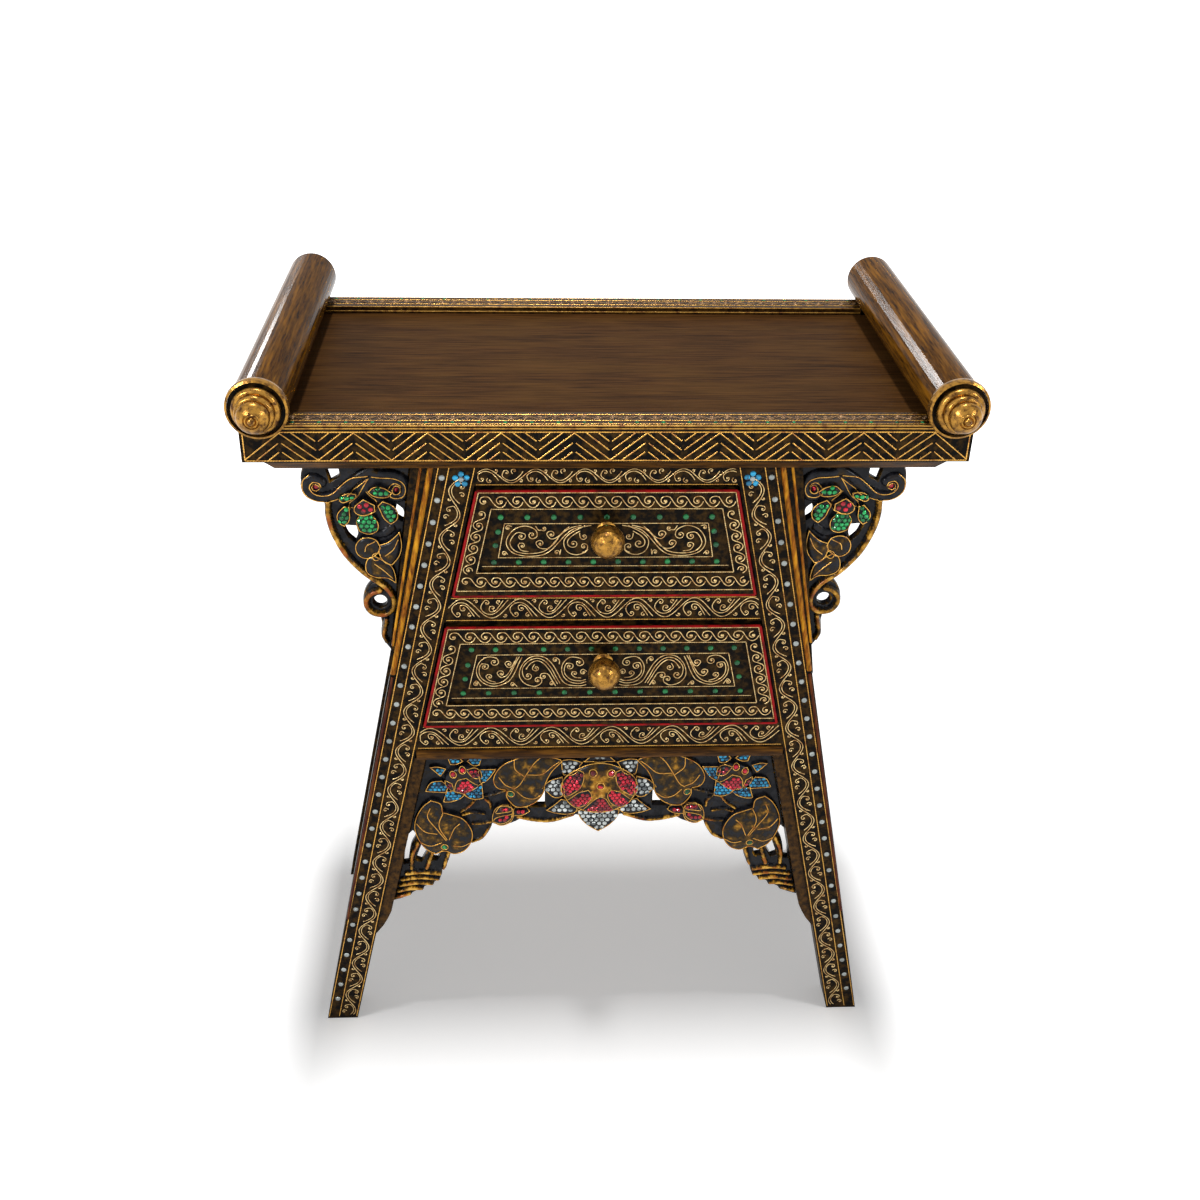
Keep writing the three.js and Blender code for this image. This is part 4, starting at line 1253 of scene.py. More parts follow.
def surface(points, carving):
    """The height above the board's back and the share of gold, with painted relief shade, at each point."""
    depth = depth_in(points, carving["board"])
    for gap_line in carving["windows"]:
        depth = np.minimum(depth, -depth_in(points, gap_line))
    curve = np.sqrt(1 - (1 - np.clip(depth / EDGE_WIDTH, 0, 1)) ** 2)
    height = carving["ground"] - EDGE_DROP + EDGE_DROP * curve
    gold = np.where(depth < EDGE_GOLD_WIDTH, EDGE_GOLD, GROUND_GOLD)
    for shape in carving["forms"]:
        line, width = shape["line"], shape["width"]
        near = np.all((points > line.min(0) - width - 1) & (points < line.max(0) + width + 1), axis=1)
        if not near.any():
            continue
        some = points[near]
        if width:
            share = gap_to(some, line) / width
            hit = share < 1
            top = shape["foot"] + shape["rise"] * np.sqrt(1 - np.minimum(share, 1) ** 2)
            hit &= top > height[near]
            shade = np.where(share < STEM_CROWN, shape["gold"], shape["gold"] * STEM_SIDE_GOLD)
        else:
            inner = depth_in(some, line)
            hit = inner > 0
            swell = shape["rise"] * np.sqrt(1 - (1 - np.clip(inner / shape["soft"], 0, 1)) ** 2)
            base = height[near] if shape["over"] else shape["foot"]
            top = base + swell
            # Partly rubbed gold, partly painted light on the crest and painted shade at the foot.
            crest_wear_and_shade = CREST_GOLD_AND_SHADE * (swell / shape["rise"] - EVEN_SWELL)
            shade = shape["gold"] + crest_wear_and_shade * (shape["gold"] > LITTLE_GOLD)
        place = np.flatnonzero(near)[hit]
        height[place] = top[hit]
        gold[place] = shade[hit]
    return height, gold


THREAD_REACH = 0.6
THREAD_SUNK = 0.1


def crest(points, carving):
    """The highest surface within a small reach of each point, so that a thread isn't cut by a step."""
    around = [surface(points + np.array(move) * THREAD_REACH, carving)[0]
              for move in ((0, 0), (1, 0), (-1, 0), (0, 1), (0, -1))]
    return np.max(around, axis=0)


def on_carving(lines, carving):
    """Lays lines on the carved surface."""
    laid = []
    for line in lines:
        height = crest(line, carving)
        laid.append(np.column_stack([line[:, 0], CARVING_BACK - height + THREAD_SUNK, line[:, 1]]))
    return laid


print("a form keeps", sorted(form([(0, 0), (9, 0), (9, 9)], 9, 1, 1, 0)))

# %% [markdown]
# Now the points. A plain grid would leave a saw edge on every form. So two rows of points lie close
# together along each outline, one on each side of the step, and the steps come out crisp. A regular
# grid fills the rest. A Delaunay triangulation joins them all and keeps the outlines as edges. The
# triangles outside the board or inside a window are dropped, the rest is lifted to its height, and a
# flat back and straight walls close the solid.

# %% Points of a carving
# Rows lie this far from an outline, and points of rows nearer than a weld become one.
STEP_SIDE = 0.22
WELD = 0.3
# The grid stays this share of its spacing away from rows, and all points this far from an edge.
GRID_CLEARANCE = 0.6
EDGE_CLEARANCE = 0.45


def scattered(carving, spacing):
    """The free points of a carving: rows beside the outlines, and a grid in between."""
    rows = []
    for shape in carving["forms"]:
        line = shape["line"]
        if not shape["width"]:
            line = np.vstack([line, line[:1]])
        gaps = (-shape["width"], 0, shape["width"]) if shape["width"] else (-STEP_SIDE, STEP_SIDE)
        rows += [beside(line, gap) for gap in gaps]
    rows = np.unique(np.round(np.vstack(rows) / WELD).astype(int), axis=0) * WELD
    low, high = carving["board"].min(0), carving["board"].max(0)
    across = np.arange(low[0], high[0], spacing)
    up = np.arange(low[1], high[1], spacing)
    grid = np.array([(x + (i % 2) * spacing / 2, z) for i, z in enumerate(up) for x in across])
    taken = kdtree.KDTree(len(rows))
    for i, (x, z) in enumerate(rows):
        taken.insert((x, z, 0), i)
    taken.balance()
    free = [taken.find((x, z, 0))[2] > spacing * GRID_CLEARANCE for x, z in grid]
    points = np.vstack([rows, grid[free]])
    depth = depth_in(points, carving["board"])
    for gap_line in carving["windows"]:
        depth = np.minimum(depth, -depth_in(points, gap_line))
    return points[depth > EDGE_CLEARANCE]


print("points beside an outline lie", STEP_SIDE, "mm from it")

# %% Triangles of a carving
SAME_POINT = 1e-4
NO_DEPTH = 1e-5


def triangulated(points, links, carving):
    """Triangles between the points, inside the board and outside its windows. Links stay edges."""
    flat = [Vector(point) for point in points]
    corners, _, faces, _, _, _ = geometry.delaunay_2d_cdt(flat, links, [], 0, SAME_POINT)
    corners = np.array(corners)
    faces = np.array(faces)
    middles = corners[faces].mean(axis=1)
    keep = depth_in(middles, carving["board"]) > NO_DEPTH
    for gap_line in carving["windows"]:
        keep &= depth_in(middles, gap_line) < -NO_DEPTH
    return corners, faces[keep]


def open_edges(faces):
    """The edges that belong to one triangle only, in the direction of that triangle."""
    edges = set()
    for face in faces.tolist():
        for a, b in zip(face, face[1:] + face[:1]):
            if (b, a) in edges:
                edges.remove((b, a))
            else:
                edges.add((a, b))
    return sorted(edges)


print("open edges of two joined triangles:", len(open_edges(np.array([(0, 1, 2), (2, 1, 3)]))))

# %% Close a carving into a solid
SMOOTH_UP_TO = math.radians(42)


def carved(name, carving, spacing, replaced, mirror=False):
    """The carving as one closed solid, with its share of gold, and the painted light and shade of its
    relief, kept on each point.
    """
    rings = [carving["board"]] + carving["windows"]
    links = []
    for ring in rings:
        start = len(links)
        links += [(start + i, start + (i + 1) % len(ring)) for i in range(len(ring))]
    corners, front = triangulated(np.vstack(rings + [scattered(carving, spacing)]), links, carving)
    sides = open_edges(front)
    rim = sorted({a for a, _ in sides})
    order = {corner: i for i, corner in enumerate(rim)}
    flat, back = triangulated(corners[rim], [(order[a], order[b]) for a, b in sides], carving)
    assert len(flat) == len(rim) and len(open_edges(back)) == len(sides)
    height, gold = surface(corners, carving)
    ahead = np.column_stack([corners[:, 0], CARVING_BACK - height, corners[:, 1]])
    behind = np.column_stack([flat[:, 0], np.full(len(flat), CARVING_BACK), flat[:, 1]])
    shift = len(ahead)
    faces = front.tolist() + [[c + shift, b + shift, a + shift] for a, b, c in back.tolist()]
    faces += [[b, a, order[a] + shift, order[b] + shift] for a, b in sides]
    spots = np.vstack([ahead, behind]) * MM
    if mirror:
        spots[:, 0] *= -1
        faces = [face[::-1] for face in faces]
    mesh = bpy.data.meshes.new(name)
    mesh.from_pydata(spots.tolist(), [], faces)
    share = mesh.attributes.new("gilding_and_relief_shade", "FLOAT", "POINT")
    share.data.foreach_set("value", np.concatenate([gold, np.full(len(behind), GROUND_GOLD)]))
    mesh.materials.append(CARVED_GILDING)
    mesh.shade_smooth()
    mesh.set_sharp_from_angle(angle=SMOOTH_UP_TO)
    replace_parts(ready(new_piece(name, mesh), "case"), replaced)


print("back of the carvings at", round(CARVING_BACK, 1))

# %% [markdown]
# The petals are paved with round glass pieces. Each could be pressed in one by one, but a paver lays
# them in rows like a honeycomb and leaves out what would cross the outline. Each piece is turned to
# the slope that it lies on, so neighbours flash differently.

# %% Pave petals with glass
FIRST_ROW = 0.6
ROW_SHARE = 0.87
SLOPE_REACH = 1.5
STEEPEST = 0.8
GLASS_PROUD = 0.1
# The pieces of each colour: their radius, the gap between them, and their distance from an outline.
BLUE_PAVING = (2.0, 0.3, 1.5)
RED_PAVING = (2.15, 0.2, 1.2)
CLEAR_PAVING = (2.5, 0.7, 1.9)
GREEN_PAVING = (2.3, 0.2, 1.5)


def glass_in(outlines, carving, radius, gap, margin):
    """Round glass pieces packed in rows inside outlines, laid on the carving and turned to its slope."""
    spots = []
    for outline in outlines:
        line = loop(outline)
        low, high = line.min(0), line.max(0)
        across = 2 * radius + gap
        rows = np.arange(low[1] + radius * FIRST_ROW, high[1], across * ROW_SHARE)
        points = np.array([(x + (i % 2) * across / 2, z) for i, z in enumerate(rows)
                           for x in np.arange(low[0], high[0], across)])
        points = points[depth_in(points, line) > margin]
        spots += glass_at(points, carving, radius)
    return spots


def glass_at(points, carving, radius):
    """Glass pieces at single points of the carving."""
    points = np.asarray(points, float)
    height = surface(points, carving)[0]
    slopes = [(surface(points + step, carving)[0] - surface(points - step, carving)[0])
              / (2 * SLOPE_REACH)
              for step in (np.array([SLOPE_REACH, 0]), np.array([0, SLOPE_REACH]))]
    spots = []
    for (x, z), h, u, v in zip(points, height, *slopes):
        u, v = np.clip((u, v), -STEEPEST, STEEPEST)
        facing = tuple(Vector((-u, -1, -v)).normalized())
        spots.append(((x, CARVING_BACK - h - GLASS_PROUD, z), facing, radius))
    return spots


print("rows of glass lie", ROW_SHARE, "of a piece apart")

# %% [markdown]
# Carved wood is coated like the rest: slate black in the depths, and gold rubbed bright on the crests
# of the leaves and stems, where some of the red bole underneath shows. The brighter crests and darker
# feet of the swellings are also painted light and shade of the relief. A mask painted by hand would
# have to be redone with every change of shape. Here the share of gold was stored on each point of
# the carving, so a colour ramp can read it, and a noise with patches of 9 mm breaks it up.

# %% Finish of the carvings


def carved_finish():
    """Slate black to rubbed gold, after the share of gold on the carving."""
    material, tree, shader, place = start_material("carved_rubbed_gilding", Roughness=0.26,
                                                   Metallic=0.1, Specular_IOR_Level=0.15)
    share = node(tree, "ShaderNodeAttribute", attribute_name="gilding_and_relief_shade").outputs["Fac"]
    patches = node(tree, "ShaderNodeTexNoise", {
        "Vector": place, "Scale": 1 / 9.0, "Detail": 4.0, "Roughness": 0.55})
    wander = node(tree, "ShaderNodeMapRange", {
        "Value": patches.outputs[0], "From Min": 0.3, "From Max": 0.7, "To Min": -0.34, "To Max": 0.34})
    level_of_gold = node(tree, "ShaderNodeMath", {0: share, 1: wander.outputs[0]}, operation="ADD")
    ramp = node(tree, "ShaderNodeValToRGB", {"Fac": level_of_gold.outputs[0]})
    stops = [(0.0, "#0d0e12"), (0.22, "#202126"), (0.4, "#21180a"), (0.6, "#4c360e"),
             (0.8, "#a0701d"), (1.0, "#dcaa4c")]
    elements = ramp.color_ramp.elements
    for number, (position, code) in enumerate(stops):
        stop = elements[number] if number < 2 else elements.new(position)
        stop.position = position
        stop.color = linear(code)
    bole = node(tree, "ShaderNodeTexNoise", {"Vector": place, "Scale": 1 / 14.0, "Detail": 3.0})
    warm = node(tree, "ShaderNodeMapRange", {
        "Value": bole.outputs[0], "From Min": 0.5, "From Max": 0.62, "To Max": 0.75})
    on_gold = node(tree, "ShaderNodeMapRange", {"Value": share, "From Min": 0.55, "From Max": 0.8})
    red_share = node(tree, "ShaderNodeMath", {
        0: warm.outputs[0], 1: on_gold.outputs[0]}, operation="MULTIPLY")
    colour = node(tree, "ShaderNodeMix", {
        0: red_share.outputs[0], 6: ramp.outputs[0], 7: linear("#9a4a1c")}, data_type="RGBA")
    tree.links.new(colour.outputs[2], shader.inputs["Base Color"])
    bump = node(tree, "ShaderNodeBump", {
        "Height": patches.outputs[0], "Strength": 0.6, "Distance": 0.5 * MM})
    tree.links.new(bump.outputs[0], shader.inputs["Normal"])
    return material


CARVED_GILDING = carved_finish()
# Gilt threads over red bole on the carvings, with painted shade on their sides.
RUST_GILT = rubbed("gilt_thread_over_red_bole", "#cf963c", "#8a3f1a", 9.0, 0.14, 0.08, "#1d0f06",
                   Roughness=0.34, Metallic=0.7)
print("finish of the carvings made:", CARVED_GILDING.name)

# %% [markdown]
# The skirt. Its left half is drawn below, and the right half mirrors it: a shell and three fingers
# at the foot, a rolled leaf with a green stone, a lotus with blue petals in the corner, a bud, and a
# second leaf. The large lotus in the middle is drawn whole. Tracing every groove would give a table of
# numbers, so each form has only the points that its outline turns at, and the curve does the rest.

# %% Outline of the skirt
NOSE_LOW = edge("rail_nose", 0, 2)
SKIRT_FOOT = 164
SEAT = 0.3
STRIP_WIDTH = 11


def skirt_side(z):
    """How far the skirt reaches to the side, up to the moulded strip on the leg."""
    return leg_inner(z) - STRIP_WIDTH - 2 * SEAT


half_arch = [(-208, 168), (-198, 175), (-182, 185), (-171, 192), (-166, 200), (-165, 207), (-159, 217),
             (-155, 231), (-142, 234), (-134, 243), (-123, 249), (-115, 260), (-111, 269), (-103, 267),
             (-94, 268), (-87, 271), (-80, 275), (-67, 272), (-49, 271), (-25, 279), (-20, 278), (-11, 267)]
half_board = [(-skirt_side(NOSE_LOW), NOSE_LOW - SEAT), (-skirt_side(SKIRT_FOOT), SKIRT_FOOT)]
half_board += half_arch
skirt_board = half_board + [(0, 258)] + [(-x, z) for x, z in reversed(half_board)]
skirt_windows = [[(-71, 291), (-56, 291), (-56, 311)],
                 [(-205.5, 216), (-199.5, 254), (-194, 261), (-191, 256), (-197, 239), (-201, 217)],
                 [(-193, 221), (-186, 241), (-179, 234), (-187, 218)],
                 [(-176, 221), (-174, 228), (-170, 232), (-167, 228), (-170, 220)]]
skirt_windows += [[(-x, z) for x, z in reversed(ring)] for ring in skirt_windows]
print("points round the skirt:", len(skirt_board), "windows:", len(skirt_windows))

# %% Corner lotus, leaves and buds
BLUE_PETALS = [
    [(-162, 334), (-173, 346), (-165, 347), (-156, 344)],
    [(-157, 313), (-179, 315), (-172, 327), (-161, 329), (-155, 321)],
    [(-147, 315), (-157, 315), (-161, 301), (-153, 301), (-143, 305), (-137, 311)],
    [(-139, 314), (-130, 321), (-120, 325), (-119, 305), (-129, 304), (-138, 309)],
    [(-124, 343), (-105, 343), (-115, 328), (-122, 324)],
    [(-135, 353), (-129, 359), (-119, 360), (-122, 348), (-128, 347)],
    [(-152, 349), (-155, 360), (-144, 359), (-138, 353), (-146, 349)],
]
CORNER_BUD = [(-142, 347), (-151, 343), (-158, 334), (-155, 321), (-147, 315), (-135, 315), (-125, 322),
              (-120, 333), (-123, 343), (-131, 348)]
CORNER_RED = [
    [(-148, 318), (-144, 333), (-136, 336), (-124, 324), (-133, 316), (-141, 315)],
    [(-157, 331), (-151, 329), (-149, 320), (-152, 318), (-156, 322)],
    [(-135, 345), (-128, 346), (-122, 341), (-120.5, 334), (-127, 336)],
]
CORNER_STONES = [(-149, 339.5), (-139.5, 344.5)]
UPPER_LEAF = [(-96, 316), (-105, 319), (-109, 328), (-107, 338), (-99, 349), (-85, 357), (-75, 360),
              (-60, 359), (-40, 355), (-38, 352), (-49, 338), (-55, 323), (-57, 312), (-63, 302), (-73, 295),
              (-86, 294), (-92, 300), (-96, 308)]
UPPER_VEINS = [
    [(-88, 321), (-96, 325), (-103, 335)],
    [(-88, 320), (-82, 325), (-75, 338), (-67, 352), (-59, 359)],
    [(-74, 338), (-59, 338.5), (-48, 348), (-41, 353)],
    [(-77, 336), (-86, 345), (-87, 356)],
    [(-85, 317), (-77, 309), (-67, 306.5), (-59, 311)],
]
LOWER_LEAF = [(-161, 289), (-163, 300), (-173, 305), (-181, 298), (-189, 284), (-192, 269), (-189, 254),
              (-181, 239), (-171, 232), (-162, 236), (-152, 232), (-142, 235), (-134, 245), (-131, 259),
              (-135, 272), (-142, 281), (-153, 286)]
LOWER_VEINS = [
    [(-159, 253), (-168, 268), (-177, 284), (-174, 296)],
    [(-158, 254), (-165, 269), (-165, 279), (-161, 288)],
    [(-156, 254), (-150, 269), (-144, 275)],
    [(-168, 262), (-180, 265), (-189, 275)],
    [(-164, 250), (-175, 246), (-186, 249)],
    [(-152, 246), (-143, 244.5), (-134, 248)],
]
SMALL_BUD = [(-110, 286), (-106, 294), (-97, 297), (-90, 294), (-88, 285), (-92, 274), (-102, 270),
             (-111, 275)]
TAIL_BUD = [(-91, 288), (-80, 290), (-71, 288), (-79, 282), (-88, 282)]
SMALL_RED = [[(-107, 288), (-100, 290), (-90, 291), (-92, 296), (-101, 296)],
             [(-109, 277), (-102, 275), (-92, 280), (-90, 286), (-99, 285), (-107, 281)],
             [(-90, 283), (-80, 284), (-72, 288), (-80, 291), (-88, 289)]]
GREEN_STONES = [(-91, 313), (-161, 244)]
print("veins drawn on the leaves:", len(UPPER_VEINS + LOWER_VEINS))

# %% Large lotus in the middle
CLEAR_SEPALS = [
    [(-59, 319), (-51, 327), (-38, 332), (-36, 310), (-40, 305), (-47, 305), (-53, 311)],
    [(-55, 288), (-47, 295), (-39, 303), (-30, 300), (-25, 294), (-22, 289), (-24, 285),
     (-31, 282.5), (-45, 284)],
    [(-39, 353), (-30, 354), (-17, 350), (-24, 340), (-37, 333), (-39, 343)],
]
MIDDLE_SEPALS = [[(-17, 350), (-9, 357.5), (0, 360), (9, 357.5), (17, 350), (0, 350.5)],
                 [(-22, 288), (-20, 279), (-12, 268), (0, 259), (12, 268), (20, 279), (22, 288), (0, 292)]]
LOTUS_DOME = [(-39, 315), (-38, 328), (-32, 337), (-22, 344), (-8, 350), (8, 350), (22, 344),
              (32, 337), (38, 328), (39, 315), (34, 304), (26, 295), (14, 289), (0, 287), (-14, 289),
              (-26, 295), (-34, 304)]
SIDE_RED = [[(-38, 310), (-39, 321), (-36, 330), (-30, 337), (-22, 342), (-17, 341), (-17, 334),
             (-20, 325), (-27, 317), (-34, 311)],
            [(-33, 303), (-27, 311), (-20, 318), (-12, 321), (-9, 316), (-11, 306), (-17, 299),
             (-25, 294.5), (-30, 298)]]
FRONT_RED = [(-17, 290), (-12, 299), (-5, 308), (1, 312.5), (6, 309), (10, 301), (15, 290), (0, 287.5)]
LOTUS_STONES = [(-7, 341), (11.5, 340), (1, 326)]
print("petals and sepals of the large lotus:", len(CLEAR_SEPALS + MIDDLE_SEPALS + SIDE_RED))

# %% Carve the skirt
GROUND = 8.6
SKIRT_GRID = 1.0
half_forms = [
    strand([(-84, 279), (-67, 274.6), (-49, 273.6), (-27, 281)], 4.0, 9.0, 3.0),
    strand([(-132, 246), (-122, 251.5), (-115.5, 262), (-113, 268)], 3.4, 8.6, 2.6),
    strand([(-143, 287), (-134, 294), (-127, 303)], 3.2, 9.0, 2.8),
    strand([(-141, 283), (-130, 286), (-119, 284)], 3.2, 9.0, 2.8),
    strand([(-131, 271), (-121, 271), (-112, 273)], 3.2, 9.0, 2.6),
    strand([(-118, 304), (-113, 298), (-112, 291)], 3.4, 9.0, 3.0),
    strand([(-118, 307), (-107, 310), (-96, 314)], 3.4, 9.0, 2.6, 0.5),
    strand([(-197, 212), (-196, 228), (-189, 246)], 5.0, 9.0, 4.0),
    strand([(-181, 212), (-177, 225), (-174, 234)], 5.0, 9.0, 4.0),
    strand([(-163, 211), (-160, 224), (-156.5, 234)], 4.6, 9.0, 4.0),
]
half_forms += [strand(way, 4.6, 9.0, 3.6, 0.9) for way in (
    [(-203, 204), (-186, 205.5), (-168, 203)], [(-208, 196), (-189, 198.5), (-170, 196)],
    [(-211, 188), (-192, 191), (-177, 189.5)], [(-213, 180), (-200, 183), (-188, 183)],
    [(-215, 171.5), (-208, 173.5), (-201, 176)])]
half_forms.append(form(LOWER_LEAF, 10.5, 5.0, 12.0, 0.4))
half_forms += [form(petal, 10.2, 2.0, 3.0, 0.12) for petal in BLUE_PETALS]
half_forms.append(form(CORNER_BUD, 11.5, 6.5, 17.0, 0.3))
half_forms += [form(petal, 0.2, 1.2, 1.4, 0.12, over=True) for petal in CORNER_RED]
half_forms.append(form(UPPER_LEAF, 10.5, 5.0, 12.0, 0.4))
half_forms += [form(TAIL_BUD, 10.0, 3.0, 4.0, 0.3), form(SMALL_BUD, 10.8, 5.0, 9.0, 0.35)]
half_forms += [form(petal, 0.2, 0.9, 1.4, 0.12, over=True) for petal in SMALL_RED]
half_forms += [form(sepal, 10.0, 1.8, 3.0, 0.12) for sepal in CLEAR_SEPALS]
skirt = {"board": loop(skirt_board), "windows": [loop(ring) for ring in skirt_windows],
         "ground": GROUND}
skirt["forms"] = [side for shape in half_forms for side in (shape, other_side(shape))]
skirt["forms"] += [form(sepal, 10.0, 1.8, 3.0, 0.12) for sepal in MIDDLE_SEPALS]
skirt["forms"].append(form(LOTUS_DOME, 11.5, 9.5, 32.0, 0.58))
for petal in SIDE_RED:
    shape = form(petal, 0.2, 1.3, 1.6, 0.12, over=True)
    skirt["forms"] += [shape, other_side(shape)]
skirt["forms"].append(form(FRONT_RED, 0.2, 1.3, 1.6, 0.12, over=True))
carved("skirt_relief", skirt, SKIRT_GRID, "skirt_carving")

# %% Threads and glass on the skirt


def rim_of(outline, inset=0.5):
    """The line that follows an outline a little inside it."""
    line = loop(outline)
    ends = np.roll(line, -1, 0)
    area = (line[:, 0] * ends[:, 1] - ends[:, 0] * line[:, 1]).sum()
    closed_line = np.vstack([line, line[:1]])
    return beside(closed_line, inset if area > 0 else -inset)


def ring_round(spot, radius):
    """A small closed ring."""
    angle = np.linspace(0, 2 * math.pi, 15)
    return np.column_stack([spot[0] + radius * np.cos(angle), spot[1] + radius * np.sin(angle)])


def both_sides(outlines):
    """Outlines or places on the left together with their mirror images."""
    if np.ndim(outlines[0]) == 1:
        return outlines + [(-x, z) for x, z in outlines]
    return outlines + [[(-x, z) for x, z in outline] for outline in outlines]


leaf_lines = [rim_of(outline, 0.8) for outline in both_sides([LOWER_LEAF, UPPER_LEAF])]
leaf_lines += [rounded(way) for way in both_sides(UPPER_VEINS + LOWER_VEINS)]
threads("skirt_leaf_lines", on_carving(leaf_lines, skirt), RUST_GILT, thickness=1.3)
petal_lines = [rim_of(outline) for outline in both_sides(BLUE_PETALS + CLEAR_SEPALS + [SMALL_BUD])]
red_outlines = both_sides(CORNER_RED + SMALL_RED + SIDE_RED) + [FRONT_RED]
petal_lines += [rim_of(outline, -0.5) for outline in red_outlines]
petal_lines += [rim_of(outline) for outline in MIDDLE_SEPALS + [LOTUS_DOME]]
petal_lines += [ring_round(spot, 4.1) for spot in LOTUS_STONES]
petal_lines += [ring_round(spot, 3.4) for spot in both_sides(CORNER_STONES)]
petal_lines += [ring_round(spot, 3.7) for spot in both_sides(GREEN_STONES)]
threads("skirt_petal_lines", on_carving(petal_lines, skirt), GOLD_THREAD, thickness=1.05)
blue_glass = glass_in(both_sides(BLUE_PETALS), skirt, *BLUE_PAVING)
domes("skirt_blue_glass", blue_glass, BLUE_GLASS)
red_glass = glass_in(red_outlines, skirt, *RED_PAVING) + glass_at(LOTUS_STONES, skirt, 2.9)
red_glass += glass_at(both_sides(CORNER_STONES), skirt, 2.5)
domes("skirt_red_glass", red_glass, RED_GLASS)
green_stones = glass_at(both_sides(GREEN_STONES), skirt, 2.9)
domes("skirt_green_stones", green_stones, GREEN_GLASS)
clear_glass = glass_in(both_sides(CLEAR_SEPALS) + MIDDLE_SEPALS, skirt, *CLEAR_PAVING)
domes("skirt_clear_glass", clear_glass, CLEAR_GLASS)

# %% [markdown]
# The brackets beside the legs. Two scrolls roll in under the top, and a long arm sweeps down to a
# ring. Between them hangs a flower of five green petals over a leaf with three lobes. Two brackets
# could be carved one by one, but a pair has to match, so the left one is drawn once and the right one
# is its mirror image.

# %% Outline of a bracket
WING_TOP = edge("wing_carving_front_left", 1, 2)
WING_FOOT = 485
STRIP_REACH = 174.5
STRIP_LEAN = 0.1414
RING = (-211, 540)
RING_RADIUS = 6.5


def wing_side(z):
    """How far from the middle the bracket's moulded strip reaches at that height."""
    return STRIP_REACH + STRIP_LEAN * (WING_TOP - z)


wing_board = [(-wing_side(WING_TOP), WING_TOP), (-262, WING_TOP), (-270, 682), (-274, 671), (-274, 660),
              (-272, 653), (-266, 648), (-257, 646), (-254.5, 643), (-255, 636), (-254, 627), (-251, 613),
              (-246, 599), (-239, 586), (-230, 575), (-222, 567), (-215, 561), (-220, 558), (-225, 551),
              (-227, 543), (-226, 534), (-220, 527), (-212, 524.5), (-211, 516), (-212, 508), (-212, 501),
              (-209, 494), (-206, 489), (-wing_side(WING_FOOT), WING_FOOT)]
wing_windows = [[(-251, 677), (-240, 677), (-240, 671), (-248, 665)],
                [(-190, 642), (-184.5, 636), (-185.5, 625), (-192, 631)],
                [(-240, 621), (-236, 610), (-230, 603.5), (-227, 612), (-228, 620)],
                [(RING[0] + RING_RADIUS * math.cos(a), RING[1] + RING_RADIUS * math.sin(a))
                 for a in np.arange(0, 6.2, 0.7)]]
print("points round a bracket:", len(wing_board), "windows:", len(wing_windows))

# %% Scrolls, petals and leaf of a bracket
GREEN_PETALS = [
    [(-241, 648), (-240, 653), (-232, 656), (-225, 655), (-225, 651), (-231, 648.5), (-238, 646)],
    [(-215, 657), (-209, 662), (-200, 661), (-193, 656), (-196, 652), (-204, 651), (-211, 653)],
    [(-244, 634), (-237, 643), (-232, 641), (-233, 628), (-238, 622), (-243, 626)],
    [(-227, 628), (-221, 635), (-213, 635), (-207, 625), (-209, 617), (-216, 614), (-225, 617)],
    [(-207, 643), (-202, 648), (-194, 644), (-189, 637), (-190, 629), (-196, 624), (-202, 630),
     (-205, 638)],
]
GREEN_HEART = [(-228, 642), (-219, 651), (-209, 645), (-209, 638), (-220, 634), (-227, 637)]
LEAF_LOBES = [
    [(-211, 592), (-206, 600), (-210, 608), (-217, 611), (-225, 609), (-230, 601), (-228, 592),
     (-220, 588)],
    [(-209, 594), (-208, 603), (-200, 606), (-193, 612), (-188.5, 617), (-187, 609), (-187, 599),
     (-190, 590), (-197, 581), (-204, 584)],
    [(-213, 592), (-219, 589), (-222, 582), (-221, 573), (-213, 568), (-202, 567), (-194, 561),
     (-194, 569), (-197, 580), (-205, 587)],
]
LOBE_VEINS = [[(-211, 607), (-219, 603), (-221, 597)], [(-203, 592), (-195, 599), (-190, 609)],
              [(-213, 584), (-204, 576), (-197, 568)]]
LEFT_SCROLL = [(-212, 677), (-224, 669), (-235, 659), (-247, 651.5), (-259, 650), (-268, 655), (-269.5, 664),
               (-263, 669), (-256, 665)]
RIGHT_SCROLL = [(-214, 676), (-204, 673), (-193, 673), (-183.5, 668), (-181, 659), (-184.5, 651),
                (-192, 650), (-195, 656)]
SCROLL_LINES = [
    [(-214, 672), (-228, 670), (-238, 662.5), (-247, 654.5), (-256, 652.5), (-263.5, 655), (-266.5, 661),
     (-263, 666), (-257.5, 665), (-256, 660.5)],
    [(-215, 667), (-225, 659.5), (-235, 652.5), (-246, 647.6), (-258, 646.8), (-267, 650), (-272.4, 657),
     (-272, 667), (-266, 673)],
    [(-211, 671), (-200, 670), (-190, 669), (-183, 665), (-181, 658), (-184, 651.5), (-191, 650),
     (-196, 653), (-196.5, 659), (-191, 663), (-185.5, 660.5)],
    [(-214, 668), (-219, 660), (-225, 650), (-232, 644), (-232, 640), (-227, 638)],
    [(-217, 655), (-213, 650), (-208, 645), (-207.5, 640), (-213, 636.5)],
]
WING_RED_STONES = [(-261, 660), (-189.5, 657)]
HEART_STONES = [(-222.5, 644), (-216.5, 645.5), (-219.5, 639.5), (-213, 641)]
LEAF_STONE = (-211, 591)
ARM_RIM = [(-251.5, 645), (-252, 634), (-250, 620), (-245, 605), (-238, 591), (-228, 578), (-219, 569),
           (-208, 560.5), (-201, 552), (-197.5, 543), (-199, 534), (-205, 528.5), (-212, 527.5), (-219, 530),
           (-223.5, 537), (-223, 545), (-217.5, 551), (-210, 553.5)]
print("leaf lobes and petals of a bracket:", len(GREEN_PETALS) + len(LEAF_LOBES))

